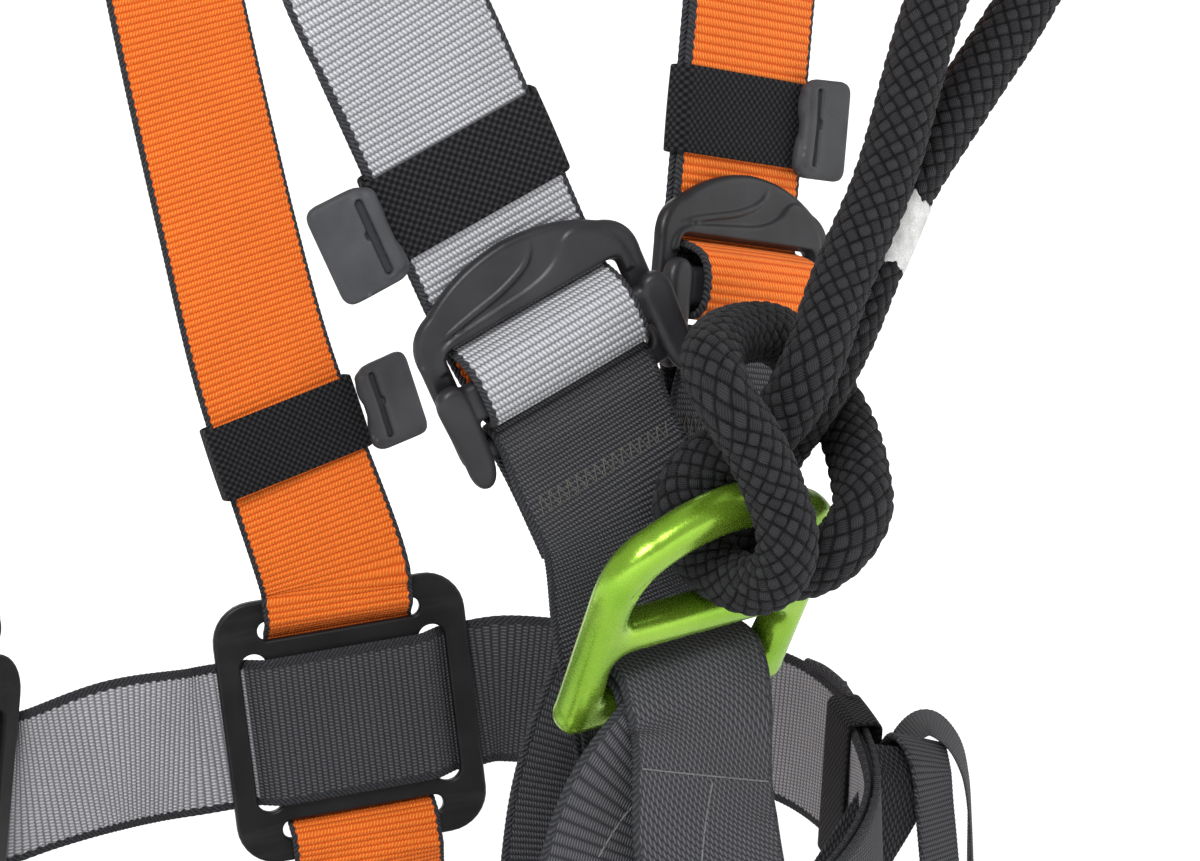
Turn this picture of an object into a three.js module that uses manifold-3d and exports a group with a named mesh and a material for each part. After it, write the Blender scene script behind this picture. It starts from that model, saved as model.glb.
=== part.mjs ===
// A full-body safety harness of 45 mm webbing, as it stands when worn: two shoulder straps that cross in a
// dorsal plate, a waist belt threaded through two hip plates, leg loops, a forged ventral ring and a rope lanyard.
// Millimetres. +X is the wearer's left, +Y the wearer's back, +Z up; the origin is the centre of the waist.
import * as THREE from 'three';
import { mergeVertices } from 'three/addons/utils/BufferGeometryUtils.js';
import Module from 'manifold-3d';

const wasm = await Module();
wasm.setup();

// ---- driving dimensions -------------------------------------------------------------------------------------
const WEB = { width: 45, thick: 1.8 };
const CLEAR = 0.35;
const HIP_PLATE = { width: 76, height: 80, thick: 3, corner: 12, slotLong: 49, slotWide: 5.6 };
const RING = { halfBar: 5, crossbar: 30.5, foot: 29.5, footDrop: 25, shoulder: 21, crown: 39.5, thick: 10 };
const BUCKLE = { halfWidth: 31, halfWindow: 24.2, top: 26, windowTop: 10, windowLow: -15, low: -20, thick: 4 };
const TOGGLE = { middle: -2.5, axisOut: 5.6, barHigh: 10, barThick: 4.6, armLong: 26, armWide: 6.4, armThick: 4.4 };
const KEEPER = { height: 22, band: 1, tabLong: 17, tabHigh: 26, tabThick: 3.4 };
const ROPE = { diameter: 14.6, sides: 8, step: 9 };
const BODY = { shoulderHigh: 478, dorsalHigh: 330 };

const V = (x, y, z) => new THREE.Vector3(x, y, z);
const UP = V(0, 0, 1);
const FRONT = V(0, -1, 0);
const BACK = V(0, 1, 0);

// ---- materials ----------------------------------------------------------------------------------------------
const material = (color, roughness, metalness = 0) => new THREE.MeshStandardMaterial({ color, roughness, metalness });
const ORANGE_WEB = material(0xff6a13, 0.8);
const GREY_WEB = material(0xb4b6ba, 0.8);
const DARK_WEB = material(0x47484b, 0.85);
const ELASTIC = material(0x17181a, 0.9);
const BLACK_STEEL = material(0x1d1e20, 0.45, 0.6);
const BUCKLE_BLACK = material(0x2a2b2e, 0.4, 0.2);
const TAB_PLASTIC = material(0x3f4144, 0.6);
const GREEN_ALLOY = material(0x8fc52a, 0.3, 0.9);
const ROPE_BLACK = material(0x1c1d1f, 0.9);
const WHITE_THREAD = material(0xe8e8e6, 0.7);
const GREY_ALLOY = material(0x8d9095, 0.3, 0.9);

const harness = new THREE.Group();

// ---- solids -------------------------------------------------------------------------------------------------
function addMesh(name, geometry, look, frame) {
  const mesh = new THREE.Mesh(geometry, look);
  mesh.name = name;
  if (frame) mesh.applyMatrix4(frame);
  harness.add(mesh);
  return mesh;
}

function toManifold(geometry) {
  const bare = geometry.clone();
  bare.deleteAttribute('normal');
  bare.deleteAttribute('uv');
  const merged = mergeVertices(bare, 1e-4);
  return new wasm.Manifold(new wasm.Mesh({
    numProp: 3,
    vertProperties: new Float32Array(merged.attributes.position.array),
    triVerts: new Uint32Array(merged.index.array),
  }));
}

function toGeometry(solid) {
  const mesh = solid.getMesh();
  const geometry = new THREE.BufferGeometry();
  geometry.setAttribute('position', new THREE.BufferAttribute(new Float32Array(mesh.vertProperties), 3));
  geometry.setIndex(new THREE.BufferAttribute(new Uint32Array(mesh.triVerts), 1));
  return geometry;
}

const join = (...parts) => toGeometry(parts.map(toManifold).reduce((a, b) => a.add(b)));
const cut = (part, ...tools) => toGeometry(tools.map(toManifold).reduce((a, b) => a.subtract(b), toManifold(part)));
const box = (w, h, d, x = 0, y = 0, z = 0) => new THREE.BoxGeometry(w, h, d).translate(x, y, z);

// A right-handed frame: y along `up`, z along `face` as nearly as it can be, x across.
function frameAt(origin, up, face) {
  const y = up.clone().normalize();
  const z = face.clone().addScaledVector(y, -face.dot(y)).normalize();
  return new THREE.Matrix4().makeBasis(new THREE.Vector3().crossVectors(y, z), y, z).setPosition(origin);
}

function roundedRect(width, height, radius, x = 0, y = 0) {
  const shape = new THREE.Shape();
  const [l, r, b, t] = [x - width / 2, x + width / 2, y - height / 2, y + height / 2];
  shape.moveTo(l + radius, b);
  shape.lineTo(r - radius, b);
  shape.absarc(r - radius, b + radius, radius, -Math.PI / 2, 0);
  shape.lineTo(r, t - radius);
  shape.absarc(r - radius, t - radius, radius, 0, Math.PI / 2);
  shape.lineTo(l + radius, t);
  shape.absarc(l + radius, t - radius, radius, Math.PI / 2, Math.PI);
  shape.lineTo(l, b + radius);
  shape.absarc(l + radius, b + radius, radius, Math.PI, 1.5 * Math.PI);
  return shape;
}

// A flat plate of the outline, centred on its frame's z = 0.
function flat(shape, thick, curveSegments = 4) {
  return new THREE.ExtrudeGeometry(shape, { depth: thick, bevelEnabled: false, curveSegments })
    .translate(0, 0, -thick / 2);
}

// The same with its edges chamfered all round.
function bevelled(shape, thick, bevel, curveSegments) {
  return new THREE.ExtrudeGeometry(shape, {
    depth: thick - 2 * bevel, bevelEnabled: true, bevelThickness: bevel, bevelSize: bevel, bevelOffset: -bevel,
    bevelSegments: 1, curveSegments,
  }).translate(0, 0, -thick / 2 + bevel);
}

// ---- webbing ------------------------------------------------------------------------------------------------
// A station is a point on the webbing's middle and the way its outer face looks.
const station = (p, n) => ({ p, n: n.clone().normalize() });

// Stations given in a frame's own y (along the strap) and z (out of it), with the face normal in the same plane.
function stationsIn(frame, rows) {
  const turn = new THREE.Matrix3().setFromMatrix4(frame);
  return rows.map(([y, z, ny, nz]) => station(V(0, y, z).applyMatrix4(frame), V(0, ny, nz).applyMatrix3(turn)));
}

function webbing(name, stations, look, { width = WEB.width, thick = WEB.thick, steps = 3 } = {}) {
  const line = new THREE.CatmullRomCurve3(stations.map((s) => s.p), false, 'centripetal');
  const faces = new THREE.CatmullRomCurve3(stations.map((s) => s.n), false, 'centripetal');
  const count = (stations.length - 1) * steps;
  const positions = [];
  for (let i = 0; i <= count; i++) {
    const t = i / count;
    const p = line.getPoint(t);
    const ahead = line.getPoint(Math.min(1, t + 0.2 / count));
    const behind = line.getPoint(Math.max(0, t - 0.2 / count));
    const along = ahead.sub(behind).normalize();
    const n = faces.getPoint(t);
    n.addScaledVector(along, -n.dot(along)).normalize();
    const side = new THREE.Vector3().crossVectors(along, n);
    for (const [s, f] of [[-1, -1], [1, -1], [1, 1], [-1, 1]]) {
      const corner = p.clone().addScaledVector(side, s * width / 2).addScaledVector(n, f * thick / 2);
      positions.push(corner.x, corner.y, corner.z);
    }
  }
  const index = [0, 1, 2, 0, 2, 3];
  for (let i = 0; i < count; i++) {
    for (let k = 0; k < 4; k++) {
      const [a, b] = [4 * i + k, 4 * i + (k + 1) % 4];
      index.push(a, a + 4, b, b, a + 4, b + 4);
    }
  }
  const last = 4 * count;
  index.push(last, last + 2, last + 1, last, last + 3, last + 2);
  const geometry = new THREE.BufferGeometry();
  geometry.setAttribute('position', new THREE.Float32BufferAttribute(positions, 3));
  geometry.setIndex(index);
  return addMesh(name, facingOut(geometry), look);
}

function facingOut(geometry) {
  if (toManifold(geometry).volume() > 0) return geometry;
  const index = Array.from(geometry.index.array);
  for (let i = 0; i < index.length; i += 3) [index[i + 1], index[i + 2]] = [index[i + 2], index[i + 1]];
  geometry.setIndex(index);
  return geometry;
}

// ---- where things are ---------------------------------------------------------------------------------------
const hipPlateLeft = frameAt(V(73, 93, 2), V(-0.14, 0, 1), V(-0.407, -0.914, 0));
const hipPlateRight = frameAt(V(-68, 95, -5), V(0.12, 0, 1), V(0.407, -0.914, 0));
const buckleRight = frameAt(V(-25, -131, 140), V(-0.47, 0, 0.883), V(-0.3, -0.95, 0));
const buckleLeft = frameAt(V(53, -110, 147.5), V(0.15, 0.05, 1), V(0.12, -1, 0.05));
const buckleWaist = frameAt(V(-92, -113, -35), V(0.86, -0.48, -0.15), V(-0.5, -0.86, 0.12));
const rearKeeperFrame = frameAt(V(53.8, 97.1, 87), V(-14.5, 6.8, 50), V(-0.22, -1, 0.07));
const ringFrame = frameAt(V(9.5, -147, 73), V(-0.1, -0.56, 0.83), V(0.07, -1, -0.67));
const dorsalFrame = frameAt(V(0, 113, BODY.dorsalHigh), UP, BACK);

// Leg loops are ellipses round the thighs, higher on the outside. side is 1 for the left leg and -1 for the right.
const LEG = { out: 88, down: 178, across: 84, deep: 90, rise: 0.3, buckleAt: -50 };
function legPoint(side, degrees, outwards = 0) {
  const a = THREE.MathUtils.degToRad(degrees);
  const [u, v] = [(LEG.across + outwards) * Math.cos(a), (LEG.deep + outwards) * Math.sin(a)];
  return V(side * (LEG.out + u), v - 6, -LEG.down + LEG.rise * u);
}
function legFace(degrees, side) {
  const a = THREE.MathUtils.degToRad(degrees);
  return V(side * Math.cos(a) / LEG.across, Math.sin(a) / LEG.deep, 0).normalize();
}
function legBuckleFrame(side) {
  const along = legPoint(side, LEG.buckleAt + 1).sub(legPoint(side, LEG.buckleAt - 1));
  return frameAt(legPoint(side, LEG.buckleAt, 4), along, legFace(LEG.buckleAt, side));
}

// ---- double-back buckles --------------------------------------------------------------------------------------
// The adjustable strap comes down behind the frame, rises through the window, rolls over the toggle's bar and
// goes back up behind itself. Rows are y, z and the outer face's direction.
const ROLL_IN = [
  [110, -3.6, 0, 1], [70, -3.6, 0, 1], [40, -3.6, 0, 1], [24, -3.6, 0, 1], [14.5, -3.6, 0.05, 1],
  [10.6, -3.4, 0.3, 0.95], [8.7, -1.9, 0.8, 0.6], [8, 0.8, 1, 0.15], [7, 4.2, 0.9, 0.4], [5, 7.6, 0.6, 0.8],
  [1.5, 9.4, 0.2, 0.98], [-2.5, 9.8, 0, 1], [-6.5, 9.2, -0.3, 0.95], [-9.2, 7, -0.9, 0.5], [-9.7, 4, -1, -0.1],
  [-8.2, 1.4, -0.8, -0.6], [-4, -1.4, -0.4, -0.9], [2, -4.6, -0.3, -0.95], [8, -6.1, -0.1, -1], [14, -6.1, 0, -1],
];
const ROLL_TAIL = [[26, -6.1, 0, -1], [60, -6.1, 0, -1], [84, -6.1, 0, -1]];
// The fixed strap is folded round the frame's low bar and sewn to itself.
const FIXED_FOLD = [
  [-50, -1.2, 0, -1], [-34, -1.25, 0, -1], [-27, -2, 0, -1], [-21.5, -3.3, 0, -1], [-17, -3.4, 0, -1],
  [-14.4, -3.1, 0.4, -0.9], [-13, -1.6, 0.9, -0.4], [-13, 1.6, 0.9, 0.4], [-14.4, 3.1, 0.4, 0.9],
  [-17, 3.4, 0, 1], [-21.5, 3.3, 0, 1],
  [-27, 2, 0, 1], [-34, 1.25, 0, 1], [-50, 1.2, 0, 1],
];

function buckleOutline() {
  const { halfWidth: w, top, low } = BUCKLE;
  const shape = new THREE.Shape();
  shape.moveTo(-w + 3, low);
  shape.lineTo(w - 3, low);
  shape.quadraticCurveTo(w, low, w, low + 4);
  shape.lineTo(w, 8);
  shape.quadraticCurveTo(w + 1, 17, w - 7, 20);
  shape.quadraticCurveTo(14, top + 1, 0, top + 1.5);
  shape.quadraticCurveTo(-14, top + 1, -w + 7, 20);
  shape.quadraticCurveTo(-w - 1, 17, -w, 8);
  shape.lineTo(-w, low + 4);
  shape.quadraticCurveTo(-w, low, -w + 3, low);
  const { halfWindow: i, windowTop: t, windowLow: b } = BUCKLE;
  shape.holes.push(roundedRect(2 * i, t - b, 2.5, 0, (t + b) / 2));
  return shape;
}

function buckle(name, frame) {
  addMesh(name + '_frame', flat(buckleOutline(), BUCKLE.thick, 3), BUCKLE_BLACK, frame);
  const bar = roundedRect(TOGGLE.barThick, TOGGLE.barHigh, 2.2);
  const barSolid = new THREE.ExtrudeGeometry(bar, {
    depth: 2 * BUCKLE.halfWidth - 3, bevelEnabled: false, curveSegments: 3,
  }).translate(0, 0, -BUCKLE.halfWidth + 1.5).rotateY(Math.PI / 2);
  const arms = [-1, 1].map((s) => box(TOGGLE.armWide, TOGGLE.armLong, TOGGLE.armThick,
    s * (BUCKLE.halfWidth - TOGGLE.armWide / 2), -TOGGLE.armLong / 2 + 6, 0.3));
  addMesh(name + '_toggle', join(barSolid, ...arms).translate(0, TOGGLE.middle, TOGGLE.axisOut), BUCKLE_BLACK, frame);
}

// ---- elastic keepers ----------------------------------------------------------------------------------------
// A knitted band round the strap's two layers, and a moulded tab at one side of it. y and z are the middle.
function keeperBand(name, frame, y, z, clearHeight) {
  const [w, h] = [WEB.width + 1.4, clearHeight];
  const outline = roundedRect(w + 2 * KEEPER.band, h + 2 * KEEPER.band, 2);
  outline.holes.push(roundedRect(w, h, 1));
  const band = flat(outline, KEEPER.height, 2).rotateX(-Math.PI / 2).translate(0, y, z);
  addMesh(name, band, ELASTIC, frame);
}

function keeper(name, frame, y, z, clearHeight, side) {
  keeperBand(name + '_band', frame, y, z, clearHeight);
  const x = side * (WEB.width / 2 + 1.4 + KEEPER.band + KEEPER.tabLong / 2 - 1);
  const tab = roundedRect(KEEPER.tabLong, KEEPER.tabHigh, 3.5, x, y);
  tab.holes.push(roundedRect(1.8, 18, 0.8, x - side * 3.5, y));
  const front = z + clearHeight / 2 + KEEPER.band + CLEAR + KEEPER.tabThick / 2;
  addMesh(name + '_tab', flat(tab, KEEPER.tabThick, 2).translate(0, 0, front), TAB_PLASTIC, frame);
}

// ---- hip plates ---------------------------------------------------------------------------------------------
function hipPlate(name, frame) {
  const { width, height, corner, slotLong, slotWide } = HIP_PLATE;
  const shape = roundedRect(width, height, corner);
  for (const s of [-1, 1]) {
    shape.holes.push(roundedRect(slotLong, slotWide, slotWide / 2 - 0.05, 0, s * 30.6));
    shape.holes.push(roundedRect(8, 48.5, 3.9, s * 27, 0));
  }
  addMesh(name, flat(shape, HIP_PLATE.thick, 4), BLACK_STEEL, frame);
}
// A strap that runs down through the plate's two level slots: in front of its rims and behind its middle.
const DOWN_THROUGH_PLATE = [
  [44, 3.2, 0, -1], [38, 3.2, 0, -1], [32.9, 2.8, 0.3, -1], [30.6, 0, 1, -0.6], [28.3, -2.8, 0.3, -1],
  [23, -3.1, 0, -1], [0, -3.1, 0, -1], [-23, -3.1, 0, -1], [-28.3, -2.8, -0.3, -1], [-30.6, 0, -1, -0.6],
  [-32.9, 2.8, -0.3, -1], [-38, 3.2, 0, -1], [-44, 3.3, 0, -1],
];
// The belt's way through the upright slots, as x and z in the plate's frame: behind the rims, over the middle.
const ACROSS_PLATE = [
  [46, -3.1], [36, -3], [30.6, -2.7], [27, 0], [23.4, 2.7], [18, 3], [0, 3],
  [-18, 3], [-23.4, 2.7], [-27, 0], [-30.6, -2.7], [-36, -3], [-46, -3.1],
];
function acrossPlate(frame) {
  const out = V(0, 0, -1).applyMatrix3(new THREE.Matrix3().setFromMatrix4(frame));
  return ACROSS_PLATE.map(([x, z]) => station(V(x, 0, z).applyMatrix4(frame), out));
}

// ---- waist belt -----------------------------------------------------------------------------------------------
// From its sewn fold on the buckle at the right front, round the back and the left side to the front again, where
// it rolls through the buckle; its tail goes back along the belt's inner face to the left side.
const aroundWaist = ([x, y, z]) => station(V(x, y, z), V(x / 165 ** 2, y / 118 ** 2, 0));
const waistRight = [[-154, -50, -13], [-166, 0, -4], [-157, 38, -2], [-134, 63, -4]].map(aroundWaist);
const waistLeft = [[136, 64, 6], [157, 38, 4], [167, 5, 1], [153, -42, -7], [127, -82, -18], [90, -109, -29]]
  .map(aroundWaist);
const waistFront = [[48, -123, -37], [0, -127, -41]].map(aroundWaist);
const inside = ({ p, n }, by) => station(p.clone().addScaledVector(n, -by), n.clone().negate());
function waistBelt() {
  const tail = [...waistLeft.slice(2), ...waistFront].map((s) => inside(s, 2.5)).reverse();
  tail[5].p.add(V(0, -24, -3));
  webbing('waist_belt', [
    ...stationsIn(buckleWaist, FIXED_FOLD), ...waistRight, ...acrossPlate(hipPlateRight).reverse(),
    station(V(3, 113, -4), BACK), ...acrossPlate(hipPlateLeft).reverse(), ...waistLeft, ...waistFront,
    ...stationsIn(buckleWaist, [...ROLL_IN.slice(2), ...ROLL_TAIL.slice(0, 1), [38, -6.1, 0, -1]]), ...tail,
  ], GREY_WEB, { steps: 2 });
}
waistBelt();
hipPlate('hip_plate_left', hipPlateLeft);
hipPlate('hip_plate_right', hipPlateRight);
buckle('waist_buckle', buckleWaist);

// ---- shoulder straps ------------------------------------------------------------------------------------------
// Each starts at its tail in the front buckle, goes over its shoulder, crosses the back through the dorsal plate,
// threads the other side's hip plate and ends on the leg loop. Rows are a point and the outer face's direction.
const rows = (list) => list.map(([x, y, z, nx, ny, nz]) => station(V(x, y, z), V(nx, ny, nz)));
function overShoulder(s, lift) {
  const fromBuckle = s < 0
    ? [[-79, -126, 262, -0.25, -1, 0.05], [-84, -118, 300, -0.25, -1, 0.2]]
    : [[74, -99.5, 285, 0.2, -1, 0.05], [80, -96, 324, 0.22, -1, 0.15]];
  return rows([
    ...fromBuckle,
    [s * 86, -88, 382, s * 0.2, -0.8, 0.6], [s * 83, -46, 450, s * 0.1, -0.45, 0.9],
    [s * 77, 2, BODY.shoulderHigh, 0, 0.05, 1], [s * 67, 50, 462, 0, 0.55, 0.8],
    [s * 46, 92, 417, 0, 0.9, 0.35], [s * 36, 109 + lift, 393, 0, 1, 0.1], [s * 28, 113 + lift, 378, 0, 1, 0],
    [s * 14, 113 + lift, 354, 0, 1, 0], [0, 113 + lift, BODY.dorsalHigh, 0, 1, 0],
  ]);
}
function ontoLegLoop(s) {
  return [
    ...rows([[s * 88, 101, -72, s * 0.2, 1, 0], [s * 90, 101, -115, s * 0.1, 1, 0]]),
    station(legPoint(s, 88, 4).add(V(0, 0, 22)), BACK), station(legPoint(s, 88, 4).add(V(0, 0, -14)), BACK),
  ];
}
function shoulderStrap(name, side, lift, frame, back, plate, look) {
  webbing(name, [
    ...stationsIn(frame, [...ROLL_IN, ...ROLL_TAIL]).reverse(), ...overShoulder(side, lift), ...rows(back),
    ...stationsIn(plate, DOWN_THROUGH_PLATE), ...ontoLegLoop(-side),
  ], look, { steps: 2 });
}
shoulderStrap('shoulder_strap_right', -1, -1.6, buckleRight, [
  [12, 111.4, 281, 0, 1, 0], [22, 104, 214, 0, 1, 0.04], [37, 102, 150, 0.05, 1, 0],
  [46.5, 100, 112, 0.15, 1, -0.07], [53.8, 97.1, 87, 0.22, 1, -0.07],
], hipPlateLeft, GREY_WEB);
shoulderStrap('shoulder_strap_left', 1, 1.6, buckleLeft, [
  [-10, 114.6, 309, 0, 1, 0], [-24, 114.6, 283, 0, 1, 0], [-52, 108, 241, 0, 1, 0], [-69, 103, 200, 0, 1, 0],
  [-72, 100, 150, -0.1, 1, 0], [-71, 98, 84, -0.25, 1, 0],
], hipPlateRight, ORANGE_WEB);
buckle('shoulder_buckle_right', buckleRight);
buckle('shoulder_buckle_left', buckleLeft);
keeper('front_keeper_right', buckleRight, 45, -4.85, 5.3, -1);
keeper('front_keeper_left', buckleLeft, 42, -4.85, 5.3, 1);
keeper('rear_keeper_left', rearKeeperFrame, 0, 0, 6, 1);

// ---- front straps, from the buckles past the back of the ventral ring to behind the belt ----------------------
webbing('front_strap_right', [
  ...stationsIn(buckleRight, FIXED_FOLD),
  ...rows([[10, -121, 68, -0.2, -1, 0], [22, -114, 32, 0, -1, 0], [29, -115, -5, 0, -1, 0], [31, -117, -58, 0, -1, 0]]),
], DARK_WEB, { steps: 2 });
webbing('front_strap_left', [
  ...stationsIn(buckleLeft, FIXED_FOLD),
  ...rows([[27, -108, 66, 0.1, -1, 0], [9, -107, 32, 0, -1, 0], [0, -108, -5, 0, -1, 0], [-4, -112, -58, 0, -1, 0]]),
], DARK_WEB, { steps: 2 });

// ---- ventral ring and the leg risers --------------------------------------------------------------------------
function ventralRing() {
  const { halfBar: h, foot, footDrop, shoulder, crown, crossbar } = RING;
  const shape = new THREE.Shape();
  shape.moveTo(-foot, -footDrop - h);
  shape.lineTo(foot, -footDrop - h);
  shape.quadraticCurveTo(foot + h + 1, -footDrop - h, foot + h, -footDrop + 2);
  shape.lineTo(crossbar + h, shoulder - 8);
  shape.quadraticCurveTo(crossbar + h, shoulder + 6, crossbar - 6, shoulder + 11);
  shape.quadraticCurveTo(0, crown + h + 3, -crossbar + 6, shoulder + 11);
  shape.quadraticCurveTo(-crossbar - h, shoulder + 6, -crossbar - h, shoulder - 8);
  shape.lineTo(-foot - h, -footDrop + 2);
  shape.quadraticCurveTo(-foot - h - 1, -footDrop - h, -foot, -footDrop - h);
  const low = new THREE.Path();
  low.moveTo(-foot + h, -footDrop + h);
  low.lineTo(foot - h, -footDrop + h);
  low.lineTo(crossbar - h, -h);
  low.lineTo(-crossbar + h, -h);
  low.closePath();
  const eye = new THREE.Path();
  eye.moveTo(-crossbar + h, h);
  eye.lineTo(crossbar - h, h);
  eye.quadraticCurveTo(crossbar - h + 1, shoulder - 3, crossbar - 13, shoulder + 2);
  eye.quadraticCurveTo(0, crown - h - 1, -crossbar + 13, shoulder + 2);
  eye.quadraticCurveTo(-crossbar + h - 1, shoulder - 3, -crossbar + h, h);
  shape.holes.push(low, eye);
  return bevelled(shape, RING.thick, 2.5, 5);
}
addMesh('ventral_ring', ventralRing(), GREEN_ALLOY, ringFrame);

// Both risers hang on the ring's low bar, sewn back on themselves; the left leg's lies over the right leg's.
const lowBar = V(0, -RING.footDrop, 0).applyMatrix4(ringFrame);
const riserFrame = frameAt(lowBar, V(-0.12, 0, 1), FRONT);
function riser(name, side, radius, below) {
  const r = radius;
  const wrap = [
    [-30, -r + 1, 0, -1], [-8, -r, 0, -1], [1, -r + 0.2, 0.2, -1], [r * 0.72, -r * 0.72, 1, -1], [r, 0, 1, 0],
    [r * 0.72, r * 0.72, 1, 1], [1, r - 0.2, 0.2, 1], [-8, r, 0, 1],
  ];
  const end = legPoint(side, -112, 5.8);
  webbing(name, [
    ...stationsIn(riserFrame, wrap), ...rows(below), ...rows([[side * 56, -134, -84, side * 0.1, -1, 0]]),
    station(end.clone().add(V(0, -1, 32)), V(side * -0.25, -1, 0)), station(end, V(side * -0.3, -1, 0)),
    station(end.clone().add(V(side * 4, 2, -20)), V(side * -0.35, -1, 0)),
  ], DARK_WEB, { steps: 2 });
}
riser('leg_riser_left', 1, 11.4, [[10, -150, 18, 0, -1, 0], [22, -147, -25, 0, -1, 0]]);
riser('leg_riser_right', -1, 8, [[-8, -142, 22, 0, -1, 0], [-24, -141, -20, 0, -1, 0]]);

// ---- leg loops ------------------------------------------------------------------------------------------------
function legLoop(word, side) {
  const frame = legBuckleFrame(side);
  const loop = [];
  for (let d = LEG.buckleAt + 47; d <= LEG.buckleAt + 316; d += 22) {
    loop.push(station(legPoint(side, d), legFace(d, side)));
  }
  webbing('leg_strap_' + word, [
    ...stationsIn(frame, [...ROLL_IN.slice(2), ...ROLL_TAIL.slice(0, 2)]).reverse(), ...loop,
    ...stationsIn(frame, FIXED_FOLD.slice(0, -1)).reverse(),
  ], DARK_WEB, { steps: 2 });
  buckle('leg_buckle_' + word, frame);
}
legLoop('left', 1);
legLoop('right', -1);

// ---- dorsal plate and ring ------------------------------------------------------------------------------------
const DORSAL = { width: 94, height: 92, corner: 16, thick: 3.4, gapFrom: -3.2, gapTo: 3.2, pegOut: 40, pegRadius: 2.6 };
const D_RING = { width: 66, height: 62, bar: 8.4, hingeUp: 18, hingeOut: 12, lugWide: 8 };
const dorsalPegs = [[-1, 8], [1, 8], [-1, -16], [1, -16]].map(([s, y]) => [s * DORSAL.pegOut, y]);
const rod = (radius, length, sides = 12) => new THREE.CylinderGeometry(radius, radius, length, sides);
function dorsalPad() {
  const { gapFrom, gapTo, thick, pegRadius } = DORSAL;
  const pad = flat(roundedRect(DORSAL.width, DORSAL.height, DORSAL.corner), thick, 3)
    .translate(0, 0, gapFrom - thick / 2);
  const length = gapTo - gapFrom + thick + 1;
  const pegs = dorsalPegs.map(([x, y]) => rod(pegRadius, length, 10).rotateX(Math.PI / 2)
    .translate(x, y, gapFrom - 1 + length / 2));
  return join(pad, ...pegs);
}
function dorsalPlate() {
  const shape = roundedRect(DORSAL.width, DORSAL.height, DORSAL.corner);
  for (const [x, y] of dorsalPegs) shape.holes.push(roundedRect(6.2, 6.2, 3, x, y));
  const plate = flat(shape, DORSAL.thick, 3).translate(0, 0, DORSAL.gapTo + DORSAL.thick / 2);
  const lugs = [-1, 1].map((s) => box(D_RING.lugWide, 18, 14, s * 17, D_RING.hingeUp, D_RING.hingeOut));
  const bore = rod(D_RING.bar / 2 + 0.75, 60, 16).rotateZ(Math.PI / 2).translate(0, D_RING.hingeUp, D_RING.hingeOut);
  return cut(join(plate, ...lugs), bore);
}
function dorsalRing() {
  const { width: w, height: h, bar } = D_RING;
  const shape = new THREE.Shape();
  const outline = (path, half, low) => {
    path.moveTo(-half, low);
    path.lineTo(half, low);
    path.lineTo(half, h - bar / 2 - w / 2);
    path.absarc(0, h - bar / 2 - w / 2, half, 0, Math.PI);
    path.lineTo(-half, low);
  };
  outline(shape, w / 2, -bar / 2);
  const window = new THREE.Path();
  outline(window, w / 2 - bar, bar / 2);
  shape.holes.push(window);
  return bevelled(shape, bar, 2.4, 8).rotateX(Math.PI).translate(0, D_RING.hingeUp, D_RING.hingeOut);
}
addMesh('dorsal_pad', dorsalPad(), TAB_PLASTIC, dorsalFrame);
addMesh('dorsal_plate', dorsalPlate(), TAB_PLASTIC, dorsalFrame);
addMesh('dorsal_ring', dorsalRing(), GREY_ALLOY, dorsalFrame);

// ---- waist keeper and side loops ------------------------------------------------------------------------------
const sideFrame = frameAt(V(153, -42, -7), V(-0.4, -0.87, -0.2), V(0.91, -0.42, 0));
keeperBand('waist_keeper', sideFrame, 0, -1.25, 8.2);

// ---- rope lanyard ---------------------------------------------------------------------------------------------
// One rope, hitched round the ring's crown by its middle; both ends stand up to a sleeve with a connector.
const ROPE_WAY = [
  [84, -175, 268], [80, -175, 250], [61, -174, 220], [43, -176, 178], [28, -178, 155], [18, -179, 136],
  [15, -172, 123], [12, -163, 115.5], [8.5, -155, 111.5], [6, -148, 105], [6, -145.5, 96.5], [8, -148.5, 88.5],
  [10, -157, 83], [11, -168, 82], [10.5, -177, 87], [8, -182, 96], [3, -182.5, 108], [-3, -182, 119],
  [-8, -179, 128], [-6, -171, 135.5], [3, -162, 139.5], [15, -154, 140.5], [31, -147, 139.5], [42, -142, 135.5],
  [48.5, -143.5, 129], [50, -150, 121], [47.5, -159, 114], [42.5, -168.5, 106], [37, -175.5, 98],
  [30.5, -174.5, 89.5], [26.5, -166, 84], [25, -155.5, 84.5], [26, -147.5, 90], [30, -142.5, 99],
  [34, -145, 108], [34, -153.5, 117], [34, -161.5, 126], [38, -167, 139], [48, -167, 157], [58, -166, 173],
  [77, -166, 195], [98, -167, 220], [117, -168, 250], [121, -168, 268],
];
function ropeSolid() {
  const way = new THREE.CatmullRomCurve3(ROPE_WAY.map((p) => V(...p)), false, 'centripetal');
  const section = new THREE.Shape();
  section.absarc(0, 0, ROPE.diameter / 2, 0, 2 * Math.PI);
  const steps = Math.round(way.getLength() / ROPE.step);
  return new THREE.ExtrudeGeometry(section, {
    extrudePath: way, steps, bevelEnabled: false, curveSegments: ROPE.sides / 2,
  });
}
addMesh('lanyard_rope', ropeSolid(), ROPE_BLACK);

// A whipping of white thread round the second strand.
const markerFrame = frameAt(V(52.5, -166.6, 164.8), V(10, 0.8, 16), FRONT);
const markerRing = new THREE.Shape();
markerRing.absarc(0, 0, 8.7, 0, 2 * Math.PI);
markerRing.holes.push(new THREE.Path().absarc(0, 0, 7.9, 0, 2 * Math.PI));
addMesh('rope_whipping', flat(markerRing, 19, 6).rotateX(-Math.PI / 2), WHITE_THREAD, markerFrame);

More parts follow.
